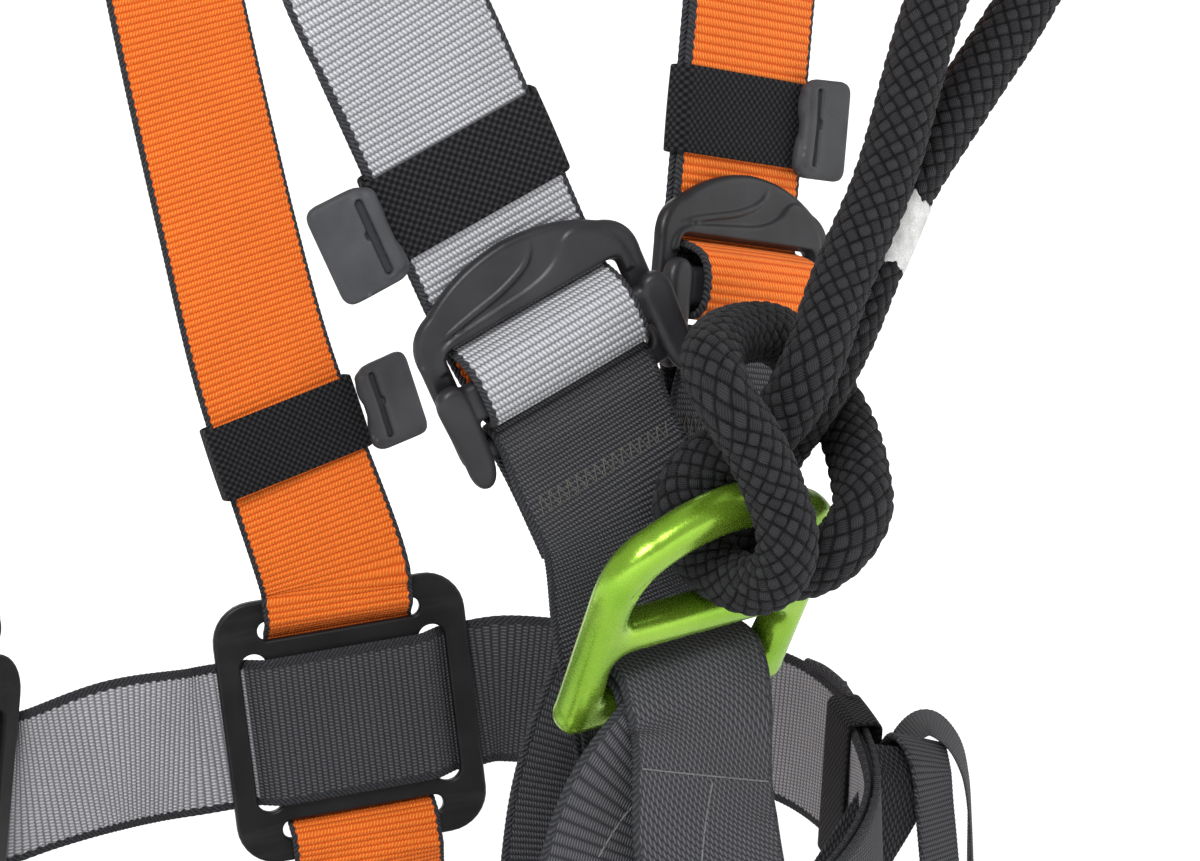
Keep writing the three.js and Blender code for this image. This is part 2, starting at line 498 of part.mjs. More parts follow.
// Each end is moulded into a sleeve whose eye holds a connector with a sprung gate.
const SLEEVE = { radius: 10.5, length: 34, bore: 8.2, boreDeep: 16, eyeUp: 44, eyeHole: 6.6, eyeRim: 12, eyeThick: 9 };
const CONNECTOR = { bar: 4.5, half: 19, high: 92, hinge: 24, nose: 76 };
const GATE = { radius: 3.8, lowGap: 2.6, noseGap: 0.5 };
function sleeve() {
  const { radius, length, bore, boreDeep, eyeUp, eyeHole, eyeRim, eyeThick } = SLEEVE;
  const lug = roundedRect(2 * eyeRim, eyeUp - length + 2 * eyeRim, eyeRim - 0.1, 0, (eyeUp + length) / 2);
  const body = join(rod(radius, length, 16).translate(0, length / 2, 0), flat(lug, eyeThick, 6));
  const eye = rod(eyeHole, 40, 16).rotateX(Math.PI / 2).translate(0, eyeUp, 0);
  return cut(body, rod(bore, 2 * boreDeep, 16), eye);
}
function connectorBody() {
  const { bar, half: h, high, hinge, nose } = CONNECTOR;
  const way = new THREE.CatmullRomCurve3([
    V(0, hinge, h), V(0, 15, h - 0.5), V(0, 4, 12), V(0, 0, 0), V(0, 4, -12), V(0, 15, -h), V(0, 45, -h - 1),
    V(0, 74, -h - 2), V(0, 88, -13), V(0, high, 0), V(0, 90, 10), V(0, 84, h - 1), V(0, nose, h),
  ], false, 'centripetal');
  const section = new THREE.Shape();
  section.absarc(0, 0, bar, 0, 2 * Math.PI);
  return new THREE.ExtrudeGeometry(section, { extrudePath: way, steps: 30, bevelEnabled: false, curveSegments: 4 });
}
function lanyardEnd(word, base, along) {
  const frame = frameAt(base, along, FRONT);
  addMesh('lanyard_sleeve_' + word, sleeve(), TAB_PLASTIC, frame);
  const held = frame.clone().multiply(new THREE.Matrix4().makeTranslation(0, SLEEVE.eyeUp, 0));
  addMesh('connector_' + word, connectorBody(), GREY_ALLOY, held);
  const [low, high] = [CONNECTOR.hinge + GATE.lowGap, CONNECTOR.nose - GATE.noseGap];
  const gate = rod(GATE.radius, high - low, 10).translate(0, (low + high) / 2, CONNECTOR.half);
  addMesh('connector_gate_' + word, gate, BLACK_STEEL, held);
}
lanyardEnd('a', V(80.9, -175, 254), V(4, 0, 18));
lanyardEnd('b', V(118, -168, 254.4), V(4, 0, 18));

export default harness;
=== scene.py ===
# The looks of a full-body safety harness: woven straps, moulded buckles, an anodised ring and a braided rope,
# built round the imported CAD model. Lengths are millimetres in the CAD's frame, and MM turns them into metres.
import math

import bmesh
import bpy
import numpy as np
from mathutils import Matrix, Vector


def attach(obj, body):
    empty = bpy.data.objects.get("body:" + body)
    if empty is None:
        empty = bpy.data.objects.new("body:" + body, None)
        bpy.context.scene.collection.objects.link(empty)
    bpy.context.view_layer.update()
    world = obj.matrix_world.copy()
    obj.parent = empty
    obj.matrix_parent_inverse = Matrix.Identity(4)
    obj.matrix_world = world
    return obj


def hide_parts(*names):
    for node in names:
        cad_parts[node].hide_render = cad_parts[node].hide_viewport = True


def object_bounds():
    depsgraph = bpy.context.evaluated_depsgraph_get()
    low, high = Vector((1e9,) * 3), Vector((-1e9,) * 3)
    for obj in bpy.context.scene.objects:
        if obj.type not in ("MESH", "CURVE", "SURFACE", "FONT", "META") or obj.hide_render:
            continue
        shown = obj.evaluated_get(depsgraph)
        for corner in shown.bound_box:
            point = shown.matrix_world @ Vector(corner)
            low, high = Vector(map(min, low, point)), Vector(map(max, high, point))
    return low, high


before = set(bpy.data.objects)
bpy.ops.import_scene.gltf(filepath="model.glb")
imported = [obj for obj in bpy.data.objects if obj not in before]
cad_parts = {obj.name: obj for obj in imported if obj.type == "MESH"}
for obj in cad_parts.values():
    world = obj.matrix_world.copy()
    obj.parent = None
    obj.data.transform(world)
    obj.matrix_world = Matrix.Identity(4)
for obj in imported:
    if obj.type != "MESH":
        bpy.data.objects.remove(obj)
CAD_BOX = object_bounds()

MM = 0.001
TAU = 2 * math.pi

# ---- driving dimensions, as in the CAD ----
WEB_WIDTH = 45
WEB_THICK = 1.8
HIP_PLATE = {"width": 76, "height": 80, "thick": 3, "corner": 12, "slot_long": 49, "slot_wide": 5.6,
             "slot_up": 30.6, "side_slot_long": 48.5, "side_slot_wide": 8, "side_slot_out": 27}
RING = {"half_bar": 5, "crossbar": 30.5, "foot": 29.5, "foot_drop": 25, "shoulder": 21, "crown": 39.5,
        "thick": 10}
BUCKLE = {"half": 31, "half_window": 24.2, "top": 26, "window_top": 10, "window_low": -15, "low": -20,
          "thick": 4}
TOGGLE = {"middle": -2.5, "axis_out": 5.6, "bar_high": 10, "bar_thick": 4.6, "arm_thick": 4.4}
KEEPER = {"height": 22, "band": 1, "tab_long": 17, "tab_high": 26, "tab_thick": 3.4, "slot_in": 4.2}
ROPE_DIAMETER = 0.0146
SHOULDER_HIGH = 478
DORSAL_HIGH = 330
LEG = {"out": 88, "down": 178, "across": 84, "deep": 90, "rise": 0.3, "buckle_at": -50}
DORSAL = {"width": 94, "height": 92, "corner": 16, "thick": 3.4, "gap": 3.2, "peg_out": 40, "peg_radius": 2.6}
D_RING = {"width": 66, "height": 62, "bar": 8.4, "hinge_up": 18, "hinge_out": 12, "lug_wide": 8}
SLEEVE = {"radius": 10.5, "length": 34, "eye_up": 44, "eye_hole": 6.6, "eye_rim": 12, "eye_thick": 9}
CONNECTOR = {"bar": 4.5, "half": 19, "high": 92, "hinge": 24, "nose": 76}


def put(name, data):
    """A new object in the scene that shows this data."""
    made = bpy.data.objects.new(name, data)
    bpy.context.scene.collection.objects.link(made)
    return made


# ---- camera ----
def make_camera():
    data = bpy.data.cameras.new("camera")
    data.lens = 130
    data.sensor_width = 36
    camera = put("camera", data)
    camera.location = (-0.6478, -0.9498, 0.25)
    camera.rotation_euler = (math.radians(90 - 7.3), 0, math.radians(-38))
    bpy.context.scene.camera = camera


make_camera()


# ---- small geometry helpers ----
def array(*values):
    return np.array(values, float)


def unit(v):
    v = np.asarray(v, float)
    return v / np.linalg.norm(v, axis=-1, keepdims=True)


def frame_at(origin, up, face):
    """A right-handed 4x4 frame: y along up, z along face as nearly as it can be, x across."""
    y = unit(up)
    z = unit(np.asarray(face, float) - np.dot(face, y) * y)
    made = np.eye(4)
    made[:3, 0] = np.cross(y, z)
    made[:3, 1] = y
    made[:3, 2] = z
    made[:3, 3] = origin
    return made


def placed(at, points):
    return np.asarray(points, float) @ at[:3, :3].T + at[:3, 3]


def turned(at, vectors):
    return np.asarray(vectors, float) @ at[:3, :3].T


def spline(points, t):
    """Points of a centripetal Catmull-Rom curve through the points, at parameters t from 0 to 1."""
    p = np.asarray(points, float)
    ends = np.vstack([2 * p[0] - p[1], p, 2 * p[-1] - p[-2]])
    place = np.clip(t, 0, 1) * (len(p) - 1)
    i = np.minimum(place.astype(int), len(p) - 2)
    w = (place - i)[:, None]
    a, b, c, d = (ends[i + k] for k in range(4))
    gaps = [np.linalg.norm(v - u, axis=1)[:, None] ** 0.5 for u, v in ((a, b), (b, c), (c, d))]
    middle = np.where(gaps[1] < 1e-4, 1, gaps[1])
    before = np.where(gaps[0] < 1e-4, middle, gaps[0])
    after = np.where(gaps[2] < 1e-4, middle, gaps[2])
    start = ((b - a) / before - (c - a) / (before + middle) + (c - b) / middle) * middle
    end = ((c - b) / middle - (d - b) / (middle + after) + (d - c) / after) * middle
    square = -3 * b + 3 * c - 2 * start - end
    return b + start * w + square * w ** 2 + (2 * b - 2 * c + start + end) * w ** 3


def even_way(points, step):
    """Parameters of points at an even spacing along the curve, and each one's distance from the start."""
    fine = np.linspace(0, 1, (len(points) - 1) * 60 + 1)
    line = spline(points, fine)
    run = np.concatenate([[0], np.cumsum(np.linalg.norm(np.diff(line, axis=0), axis=1))])
    along = np.linspace(0, run[-1], max(2, round(run[-1] / step)) + 1)
    return np.interp(along, run, fine), along


def tube_faces(rings, around, closed=False):
    """Quads of a tube of rings, with a face at each end unless the tube closes on itself."""
    i = np.arange(rings if closed else rings - 1)[:, None] * around
    j = (i + around) % (rings * around)
    k = np.arange(around)[None, :]
    after = (k + 1) % around
    faces = np.stack([i + k, i + after, j + after, j + k], axis=-1).reshape(-1, 4).tolist()
    if not closed:
        faces.append(list(range(around))[::-1])
        faces.append(list(range((rings - 1) * around, rings * around)))
    return faces


def new_mesh(name, points, faces, attribute=None, domain="POINT"):
    """A smooth mesh from points in millimetres, with an optional vector for each point or face corner, which
    its material reads."""
    mesh = bpy.data.meshes.new(name)
    mesh.from_pydata((np.asarray(points) * MM).tolist(), [], faces)
    if attribute is not None:
        layer = mesh.attributes.new("weave", "FLOAT_VECTOR", domain)
        layer.data.foreach_set("vector", np.asarray(attribute, np.float32).ravel())
    tidy = bmesh.new()
    tidy.from_mesh(mesh)
    bmesh.ops.recalc_face_normals(tidy, faces=tidy.faces)
    tidy.to_mesh(mesh)
    tidy.free()
    mesh.shade_smooth()
    return mesh


def add(name, mesh, look, body, nodes=(), weighted=False, slot=None):
    """Shows a mesh as a piece that rides on a body and stands for its CAD nodes."""
    piece = put(name, mesh)
    mesh.materials.clear()
    mesh.materials.append(look)
    if weighted:
        piece.modifiers.new("even shading", "WEIGHTED_NORMAL")
    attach(piece, body)
    if nodes:
        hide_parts(*nodes)
    slot or look.name.split(".")[0]
    return piece


# ---- outlines and moulded shapes ----
class Outline:
    """A closed outline in a frame's x and y, drawn with lines, arcs and one-handle curves."""

    def __init__(self, x, y):
        self.points = [(x, y)]

    def line(self, x, y):
        self.points.append((x, y))
        return self

    def curve(self, cx, cy, x, y, steps=10):
        x0, y0 = self.points[-1]
        for i in range(1, steps + 1):
            t = i / steps
            a, b, c = (1 - t) ** 2, 2 * t * (1 - t), t ** 2
            self.points.append((a * x0 + b * cx + c * x, a * y0 + b * cy + c * y))
        return self

    def arc(self, cx, cy, radius, start, end, steps=8):
        for i in range(steps + 1):
            a = math.radians(start + (end - start) * i / steps)
            self.points.append((cx + radius * math.cos(a), cy + radius * math.sin(a)))
        return self


def rounded_rect(width, height, radius, x=0, y=0, steps=8):
    shape = Outline(x + width / 2, y - height / 2 + radius)
    for cx, cy, start in ((1, 1, 0), (-1, 1, 90), (-1, -1, 180), (1, -1, 270)):
        centre = (x + cx * (width / 2 - radius), y + cy * (height / 2 - radius))
        shape.arc(*centre, radius, start, start + 90, steps)
    return shape


def turning(points):
    """Twice the signed area: above 0 for an outline that turns to the left."""
    return sum(x0 * y1 - x1 * y0 for (x0, y0), (x1, y1) in zip(points, points[1:] + points[:1]))


def without_repeats(points):
    return [p for p, q in zip(points, points[1:] + points[:1]) if math.dist(p, q) > 0.02]


def as_mesh(holder):
    """An object's mesh with its curve or its modifiers worked out."""
    return bpy.data.meshes.new_from_object(holder.evaluated_get(bpy.context.evaluated_depsgraph_get()))


def plate(outline, holes, thick, rounding, out=0, steps=3):
    """A flat plate with rounded edges, centred on z = out, as points and faces."""
    data = bpy.data.curves.new("plate", "CURVE")
    data.dimensions = "2D"
    data.fill_mode = "BOTH"
    data.extrude = thick / 2 - rounding
    data.bevel_depth = rounding
    data.bevel_resolution = steps
    data.offset = -rounding
    for shape, way in [(outline, 1)] + [(hole, -1) for hole in holes]:
        points = without_repeats(shape.points)
        if turning(points) * way < 0:
            points.reverse()
        line = data.splines.new("POLY")
        line.points.add(len(points) - 1)
        for point, (x, y) in zip(line.points, points):
            point.co = (x, y, 0, 1)
        line.use_cyclic_u = True
    holder = put("plate", data)
    mesh = as_mesh(holder)
    points = np.array([v.co[:] for v in mesh.vertices])
    faces = [list(f.vertices) for f in mesh.polygons]
    bpy.data.objects.remove(holder)
    bpy.data.curves.remove(data)
    bpy.data.meshes.remove(mesh)
    return points + array(0, 0, out), faces


def carried_along(line, previous):
    """Two directions across a line at each of its points, carried along it without a twist."""
    ahead = unit(np.gradient(line, axis=0))
    across = np.zeros_like(line)
    for i, direction in enumerate(ahead):
        previous = unit(previous - np.dot(previous, direction) * direction)
        across[i] = previous
    return across, np.cross(ahead, across)


ANY_WAY = array(0.31, 0.17, 0.93)  # no rod starts along this direction


def rod(points, radius, sides=24, step=0.8):
    """A round bar along a smooth curve. The radius is a number, or a function of the share of length done."""
    t, along = even_way(points, step)
    line = spline(points, t)
    across, other = carried_along(line, np.cross(unit(line[1] - line[0]), ANY_WAY))
    thickness = np.array([radius(s) if callable(radius) else radius for s in along / along[-1]])
    angle = np.arange(sides) / sides * TAU
    ring = across[:, None] * np.cos(angle)[None, :, None] + other[:, None] * np.sin(angle)[None, :, None]
    points = line[:, None] + ring * thickness[:, None, None]
    return points.reshape(-1, 3), tube_faces(len(t), sides)


def rounded_ends(radius, share=0.04):
    """A rod's radius that draws in over the first and last part of its length."""
    return lambda s: radius * (1 - (1 - min(1, min(s, 1 - s) / share)) ** 2.2 * 0.75)


def joined(*shapes):
    points = []
    faces = []
    for shape_points, shape_faces in shapes:
        start = sum(len(p) for p in points)
        points.append(shape_points)
        faces += [[start + i for i in face] for face in shape_faces]
    return np.vstack(points), faces


def change(holder, kind, **settings):
    modifier = holder.modifiers.new(kind.lower(), kind)
    for key, value in settings.items():
        setattr(modifier, key, value)


def forged(name, shape, voxel=0.6, smoothing=6, cutters=()):
    """One smooth skin over several shapes, less the cutters, in the shapes' own frame."""
    holder = put(name, new_mesh(name, *shape))
    if cutters:
        change(holder, "REMESH", mode="VOXEL", voxel_size=voxel * MM)
    tools = [put(f"{name}_cutter_{i}", new_mesh("cutter", *cutter)) for i, cutter in enumerate(cutters)]
    for tool in tools:
        change(holder, "BOOLEAN", operation="DIFFERENCE", solver="EXACT", object=tool)
    change(holder, "REMESH", mode="VOXEL", voxel_size=voxel * MM, use_smooth_shade=True)
    change(holder, "SMOOTH", factor=0.5, iterations=smoothing)
    mesh = as_mesh(holder)
    for piece in (*tools, holder):
        bpy.data.objects.remove(piece)
    return mesh


def moved(mesh, at):
    """A copy of a mesh made in a frame's own axes, put where the frame is."""
    copy = mesh.copy()
    place = Matrix(at.tolist())
    place.translation *= MM
    copy.transform(place)
    return copy


# ---- materials ----
def colour(red, green, blue):
    """A colour given in 0 to 255 as a screen shows it."""
    linear = [((c / 255 + 0.055) / 1.055) ** 2.4 if c > 10 else c / 255 / 12.92 for c in (red, green, blue)]
    return (*linear, 1)


def toned(base, share, more=0.0):
    """A colour made darker or lighter."""
    return tuple(min(1, c * share + more) for c in base[:3]) + (1,)


def new_node(look, kind):
    return look.node_tree.nodes.new("ShaderNode" + kind)


def link(look, start, end):
    look.node_tree.links.new(start, end)


def preset(node, **values):
    """Sets a node's inputs to constants; an underscore in a name stands for a space."""
    for name, value in values.items():
        node.inputs[name.replace("_", " ")].default_value = value


class Signal:
    """A number that varies over a surface, so that a pattern reads as arithmetic."""

    def __init__(self, look, socket):
        self.look = look
        self.socket = socket

    def math(self, operation, *others):
        node = new_node(self.look, "Math")
        node.operation = operation
        for place, value in zip(node.inputs, (self, *others)):
            if isinstance(value, Signal):
                link(self.look, value.socket, place)
            else:
                place.default_value = value
        return Signal(self.look, node.outputs[0])

    def __add__(self, other):
        return self.math("ADD", other)

    def __sub__(self, other):
        return self.math("SUBTRACT", other)

    def __mul__(self, other):
        return self.math("MULTIPLY", other)

    def wave(self, period):
        """A cosine of this period, from 0 to 1."""
        return (self * (TAU / period)).math("COSINE") * 0.5 + 0.5

    def step(self, start, end):
        """0 before start and 1 after end, with a straight ramp between."""
        node = new_node(self.look, "MapRange")
        link(self.look, self.socket, node.inputs["Value"])
        preset(node, From_Min=start, From_Max=end)
        return Signal(self.look, node.outputs["Result"])


def blank(name):
    look = bpy.data.materials.new(name)
    look.use_nodes = True
    shader = look.node_tree.nodes["Principled BSDF"]
    return look, shader


def mixed(look, share, first, second):
    """A colour socket between two colours, each a constant or another mix's socket."""
    node = new_node(look, "Mix")
    node.data_type = "RGBA"
    link(look, share.socket, node.inputs["Factor"])
    for place, value in ((node.inputs[6], first), (node.inputs[7], second)):
        if isinstance(value, tuple):
            place.default_value = value
        else:
            link(look, value, place)
    return node.outputs[2]


def scaled(look, shade, share):
    """A colour socket made lighter or darker by a signal."""
    node = new_node(look, "VectorMath")
    node.operation = "SCALE"
    link(look, shade, node.inputs[0])
    link(look, share.socket, node.inputs["Scale"])
    return node.outputs[0]


def noise(look, scale, detail=2.0):
    """Soft noise from 0 to 1 in the object's own space; scale is in waves per metre."""
    node = new_node(look, "TexNoise")
    preset(node, Scale=scale, Detail=detail)
    link(look, new_node(look, "TexCoord").outputs["Object"], node.inputs["Vector"])
    return Signal(look, node.outputs["Fac"])


def attribute(look):
    """The three numbers that a piece's mesh stores at each point for its pattern."""
    node = new_node(look, "Attribute")
    node.attribute_name = "weave"
    split = new_node(look, "SeparateXYZ")
    link(look, node.outputs["Vector"], split.inputs[0])
    return [Signal(look, socket) for socket in split.outputs]


def shaded(look, shader, shade, height, depth):
    """Gives a material its colour and its relief, whose depth is in millimetres."""
    link(look, shade, shader.inputs["Base Color"])
    node = new_node(look, "Bump")
    preset(node, Distance=depth * MM, Strength=1)
    link(look, height.socket, node.inputs["Height"])
    link(look, node.outputs["Normal"], shader.inputs["Normal"])
    return look


def cloth(shader, roughness, sheen):
    preset(shader, Roughness=roughness, Specular_IOR_Level=0.18, Sheen_Weight=sheen, Sheen_Roughness=0.45)


def woven(name, outer, inner, edge, rib=1.8, column=1.0, edge_width=1.6, slant=0.35, twill=0.0):
    """Woven webbing, plain or with its rows aslant (twill). outer and inner are each face's colours (thread,
    lit thread and gap), and edge is the selvedge's. The lit thread is a painted highlight on the raised
    stitches, and the gap a painted shade in the dips between rows and stitches."""
    look, shader = blank(name)
    across, along, side = attribute(look)
    worn = noise(look, 45)
    fibre = noise(look, 1800, 3)
    lean = across + along * slant
    down = along + across * twill
    checks = (lean * (TAU / column)).math("COSINE") * (down * (math.pi / rib)).math("COSINE")
    stitch = checks * 0.5 + 0.5
    row = down.wave(rib)
    faces = []
    for thread, lit, gap in (outer, inner):
        # Painted shade: the gap colour fills the dips between rows and stitches; painted highlight: the lit
        # colour tops the stitches.
        shade = mixed(look, (row * 0.8 + stitch * 0.4).step(0.0, 0.55), gap, thread)
        shade = mixed(look, stitch.step(0.5, 1.0), shade, lit)
        faces.append(shade)
    face = mixed(look, side.step(-0.1, 0.1), faces[1], faces[0])
    face = scaled(look, face, worn * 0.22 + fibre * 0.3 + 0.72)
    zigzag = along.wave(2.6) * 0.5
    from_edge = across.math("ABSOLUTE") * -1 + WEB_WIDTH / 2
    selvedge = (from_edge + zigzag).step(edge_width + 0.25, edge_width)
    chain = (along + from_edge * 0.9).wave(1.3)
    braid = mixed(look, chain.step(0.1, 0.9), toned(edge, 0.45), edge)
    shade = mixed(look, selvedge, face, braid)
    cloth(shader, 0.78, 0.03)
    return shaded(look, shader, shade, stitch * 0.7 + row * 0.6 + fibre * 0.2 + chain * selvedge, 0.4)


# Each set is (thread, lit thread, gap): the lit thread is a painted highlight and the gap a painted shade.
LIGHT_GREY = (colour(158, 159, 164), colour(222, 222, 226), colour(52, 52, 56))
ORANGE = (colour(250, 112, 22), colour(255, 164, 84), colour(176, 52, 8))
DARK_GREY = (colour(64, 64, 68), colour(108, 108, 112), colour(12, 12, 14))
EDGE_GREY = colour(66, 67, 71)


def knitted(name, thread, gap):
    """Knitted elastic: staggered rows of small loops, with a painted shade in the gap colour between them."""
    look, shader = blank(name)
    across, along, _ = attribute(look)
    loops = (across * (TAU / 2.1)).math("COSINE") * (along * (TAU / 2.1)).math("COSINE") * 0.5 + 0.5
    fibre = noise(look, 2600, 3)
    # Painted shade: the gap colour darkens the spaces between the loops.
    shade = mixed(look, loops.step(0.3, 0.95), gap, thread)
    shade = scaled(look, shade, fibre * 0.7 + 0.65)
    cloth(shader, 0.8, 0.03)
    return shaded(look, shader, shade, loops + fibre * 0.3, 0.45)


def braided(name, thread, gap):
    """Braided rope: the strands are real; the fine fibres of each lie across it, one way or the other. The gap
    colour is a painted shade in the grooves between strands, and one set of strands is painted lighter than the
    other.
    """
    look, shader = blank(name)
    first, second, rise = attribute(look)
    over = rise.step(-0.05, 0.05)
    fibres = first.wave(0.55) * over + second.wave(0.55) * (over * -1 + 1)
    fluff = noise(look, 2400, 3)
    deep = rise.math("ABSOLUTE")
    # Painted shade: the gap colour fills the grooves where the strands dip.
    shade = mixed(look, deep.step(0.2, 0.75), gap, thread)
    # over * 0.3 is painted light: it makes one set of strands lighter than the other.
    shade = scaled(look, shade, fibres * 0.7 + fluff * 0.5 + over * 0.3 + 0.3)
    cloth(shader, 0.72, 0.04)
    return shaded(look, shader, shade, fibres * 0.5 + fluff * 0.5, 0.3)


def moulded(name, base, roughness, grain, grain_depth=0.05, metallic=0.0):
    """Satin moulding or paint with a fine grain, a little rubbed and a little dusty."""
    look, shader = blank(name)
    cloudy = noise(look, 60, 4)
    fine = noise(look, grain, 3)
    shade = mixed(look, cloudy.step(0.3, 0.75), toned(base, 0.7), toned(base, 1.5, 0.006))
    bevel = new_node(look, "NewGeometry")
    rubbed = Signal(look, bevel.outputs["Pointiness"]).step(0.53, 0.62) * cloudy
    shade = mixed(look, rubbed, shade, toned(base, 2.5, 0.03))
    gloss = fine.step(0.2, 0.8) * 0.14 + (roughness - 0.07)
    link(look, gloss.socket, shader.inputs["Roughness"])
    preset(shader, Metallic=metallic, Specular_IOR_Level=0.34)
    return shaded(look, shader, shade, fine + cloudy * 0.4, grain_depth)


def anodised(name, base, lit, roughness):
    """Anodised alloy: deep colour in the metal, brushed very faintly, with a clear skin."""
    look, shader = blank(name)
    cloudy = noise(look, 55, 3)
    fine = noise(look, 1500, 2)
    # The lit colour is a painted highlight tone, laid in soft random clouds over the base colour.
    shade = mixed(look, cloudy.step(0.25, 0.8), base, lit)
    gloss = fine.step(0.2, 0.8) * 0.1 + (roughness - 0.05)
    link(look, gloss.socket, shader.inputs["Roughness"])
    preset(shader, Metallic=0.75, Coat_Weight=0.3, Coat_Roughness=0.25)
    return shaded(look, shader, shade, fine + cloudy, 0.03)


def thread_wound(name, base):
    look, shader = blank(name)
    fibre = noise(look, 3000, 2)
    cloudy = noise(look, 300, 2)
    shade = mixed(look, (fibre * cloudy).step(0.1, 0.4), toned(base, 0.6), base)
    cloth(shader, 0.6, 0.15)
    return shaded(look, shader, shade, fibre, 0.15)


GREY_WEBBING = woven("grey_webbing", LIGHT_GREY, ORANGE, EDGE_GREY)
BELT_WEBBING = woven("grey_webbing_belt", DARK_GREY, LIGHT_GREY, EDGE_GREY, edge_width=2.7, slant=0.1)
ORANGE_WEBBING = woven("orange_webbing", ORANGE, DARK_GREY, EDGE_GREY, rib=2.2)
DARK_WEBBING = woven("dark_webbing", DARK_GREY, DARK_GREY, EDGE_GREY, rib=1.4, column=0.85, slant=0.5)
DARK_RIBBED = woven("dark_webbing_ribbed", DARK_GREY, DARK_GREY, EDGE_GREY, rib=2.4, column=0.85, slant=0.08)
DARK_TWILL = woven("dark_webbing_twill", DARK_GREY, DARK_GREY, EDGE_GREY, rib=1.7, column=1.1, slant=0.2,
                   twill=0.8)
# The tape's sets are (thread, lit thread, gap) as well, with a painted highlight and a painted shade.
TAPE = woven("dark_webbing_tape", (colour(88, 88, 91), colour(104, 104, 107), colour(70, 70, 73)),
             (colour(70, 70, 73), colour(84, 84, 87), colour(52, 52, 55)), EDGE_GREY, rib=0.9, column=0.5,
             edge_width=0.7)
# The second colour of the elastic and of the rope is a painted shade, for the gaps between loops and the
# grooves between strands.
ELASTIC = knitted("elastic", colour(50, 50, 54), colour(5, 5, 6))
ROPE_BLACK = braided("rope", colour(40, 40, 43), colour(4, 4, 5))
BLACK_STEEL = moulded("black_steel", colour(20, 20, 22), 0.42, 900, 0.02, 0.2)
BUCKLE_BLACK = moulded("buckle_black", colour(34, 34, 37), 0.4, 1400, 0.02)
TAB_PLASTIC = moulded("tab_plastic", colour(54, 55, 58), 0.58, 1600, 0.05)
GREEN_ALLOY = anodised("green_alloy", colour(122, 172, 34), colour(160, 202, 66), 0.27)
GREY_ALLOY = anodised("grey_alloy", colour(138, 140, 146), colour(176, 178, 182), 0.32)
WHITE_THREAD = thread_wound("white_thread", colour(240, 240, 238))


# ---- rope lanyard ----
# The CAD rope's route, in metres: down from sleeve A, through the hitch on the ring and up to sleeve B.
ROPE_WAY = [
    (0.084, -0.175, 0.268), (0.080, -0.175, 0.250), (0.061, -0.174, 0.220), (0.043, -0.176, 0.178),
    (0.028, -0.178, 0.155), (0.018, -0.179, 0.136), (0.015, -0.172, 0.123), (0.012, -0.163, 0.1155),
    (0.0085, -0.155, 0.1115), (0.006, -0.148, 0.105), (0.006, -0.1455, 0.0965), (0.008, -0.1485, 0.0885),
    (0.010, -0.157, 0.083), (0.011, -0.168, 0.082), (0.0105, -0.177, 0.087), (0.008, -0.182, 0.096),
    (0.003, -0.1825, 0.108), (-0.003, -0.182, 0.119), (-0.008, -0.179, 0.128), (-0.006, -0.171, 0.1355),
    (0.003, -0.162, 0.1395), (0.015, -0.154, 0.1405), (0.031, -0.147, 0.1395), (0.042, -0.142, 0.1355),
    (0.0485, -0.1435, 0.129), (0.050, -0.150, 0.121), (0.0475, -0.159, 0.114), (0.0425, -0.1685, 0.106),
    (0.037, -0.1755, 0.098), (0.0305, -0.1745, 0.0895), (0.0265, -0.166, 0.084), (0.025, -0.1555, 0.0845),
    (0.026, -0.1475, 0.090), (0.030, -0.1425, 0.099), (0.034, -0.145, 0.108), (0.034, -0.1535, 0.117),
    (0.034, -0.1615, 0.126), (0.038, -0.167, 0.139), (0.048, -0.167, 0.157), (0.058, -0.166, 0.173),
    (0.077, -0.166, 0.195), (0.098, -0.167, 0.220), (0.117, -0.168, 0.250), (0.121, -0.168, 0.268),
]
BRAID = {"strands": 10, "cell": 3.3, "depth": 1.0, "sides": 84,
         "step": 0.6}


def rope_line(step):
    points = np.array(ROPE_WAY) / MM
    t, along = even_way(points, step)
    return spline(points, t), along


def rope():
    """The braid: two sets of strands lie at 45 degrees, and each goes over one and under the next."""
    line, along = rope_line(BRAID["step"])
    across, other = carried_along(line, array(1, 0, 0))
    sides = BRAID["sides"]
    share = np.arange(sides + 1) / sides
    first = BRAID["strands"] * share[None, :] + along[:, None] / (BRAID["cell"] * math.sqrt(2))
    second = BRAID["strands"] * share[None, :] - along[:, None] / (BRAID["cell"] * math.sqrt(2))
    over = np.where((np.floor(first) + np.floor(second)) % 2 == 0, 1, -1)
    side_of, end_of = np.abs(np.sin(math.pi * first)), np.abs(np.sin(math.pi * second))
    pillow = np.where(over > 0, side_of ** 0.22 * end_of ** 0.6, side_of ** 0.6 * end_of ** 0.22)
    radius = ROPE_DIAMETER / MM / 2 + 0.3 - BRAID["depth"] * (1 - pillow)
    angle = share[None, :-1, None] * TAU
    ring = across[:, None] * np.cos(angle) + other[:, None] * np.sin(angle)
    points = line[:, None] + ring * radius[:, :-1, None]
    faces = tube_faces(len(line), sides)
    told = np.stack([first * BRAID["cell"], second * BRAID["cell"], pillow * over], axis=-1)
    corners = np.stack([told[:-1, :-1], told[:-1, 1:], told[1:, 1:], told[1:, :-1]], axis=2).reshape(-1, 3)
    ends = np.zeros((2 * sides, 3))
    mesh = new_mesh("rope", points.reshape(-1, 3), faces, np.vstack([corners, ends]), "CORNER")
    return add("lanyard_rope_braid", mesh, ROPE_BLACK, "ring_and_lanyard", ["lanyard_rope"])


ROPE = rope()


# ---- webbing ----
def station(point, face):
    return array(*point), unit(face)


def stations_in(at, rows):
    """Stations given in a frame's own y (along the strap) and z (out of it), with the face in y and z too."""
    return [(placed(at, (0, y, z)), unit(turned(at, (0, ny, nz)))) for y, z, ny, nz in rows]


def rows(table):
    return [station(row[:3], row[3:]) for row in table]


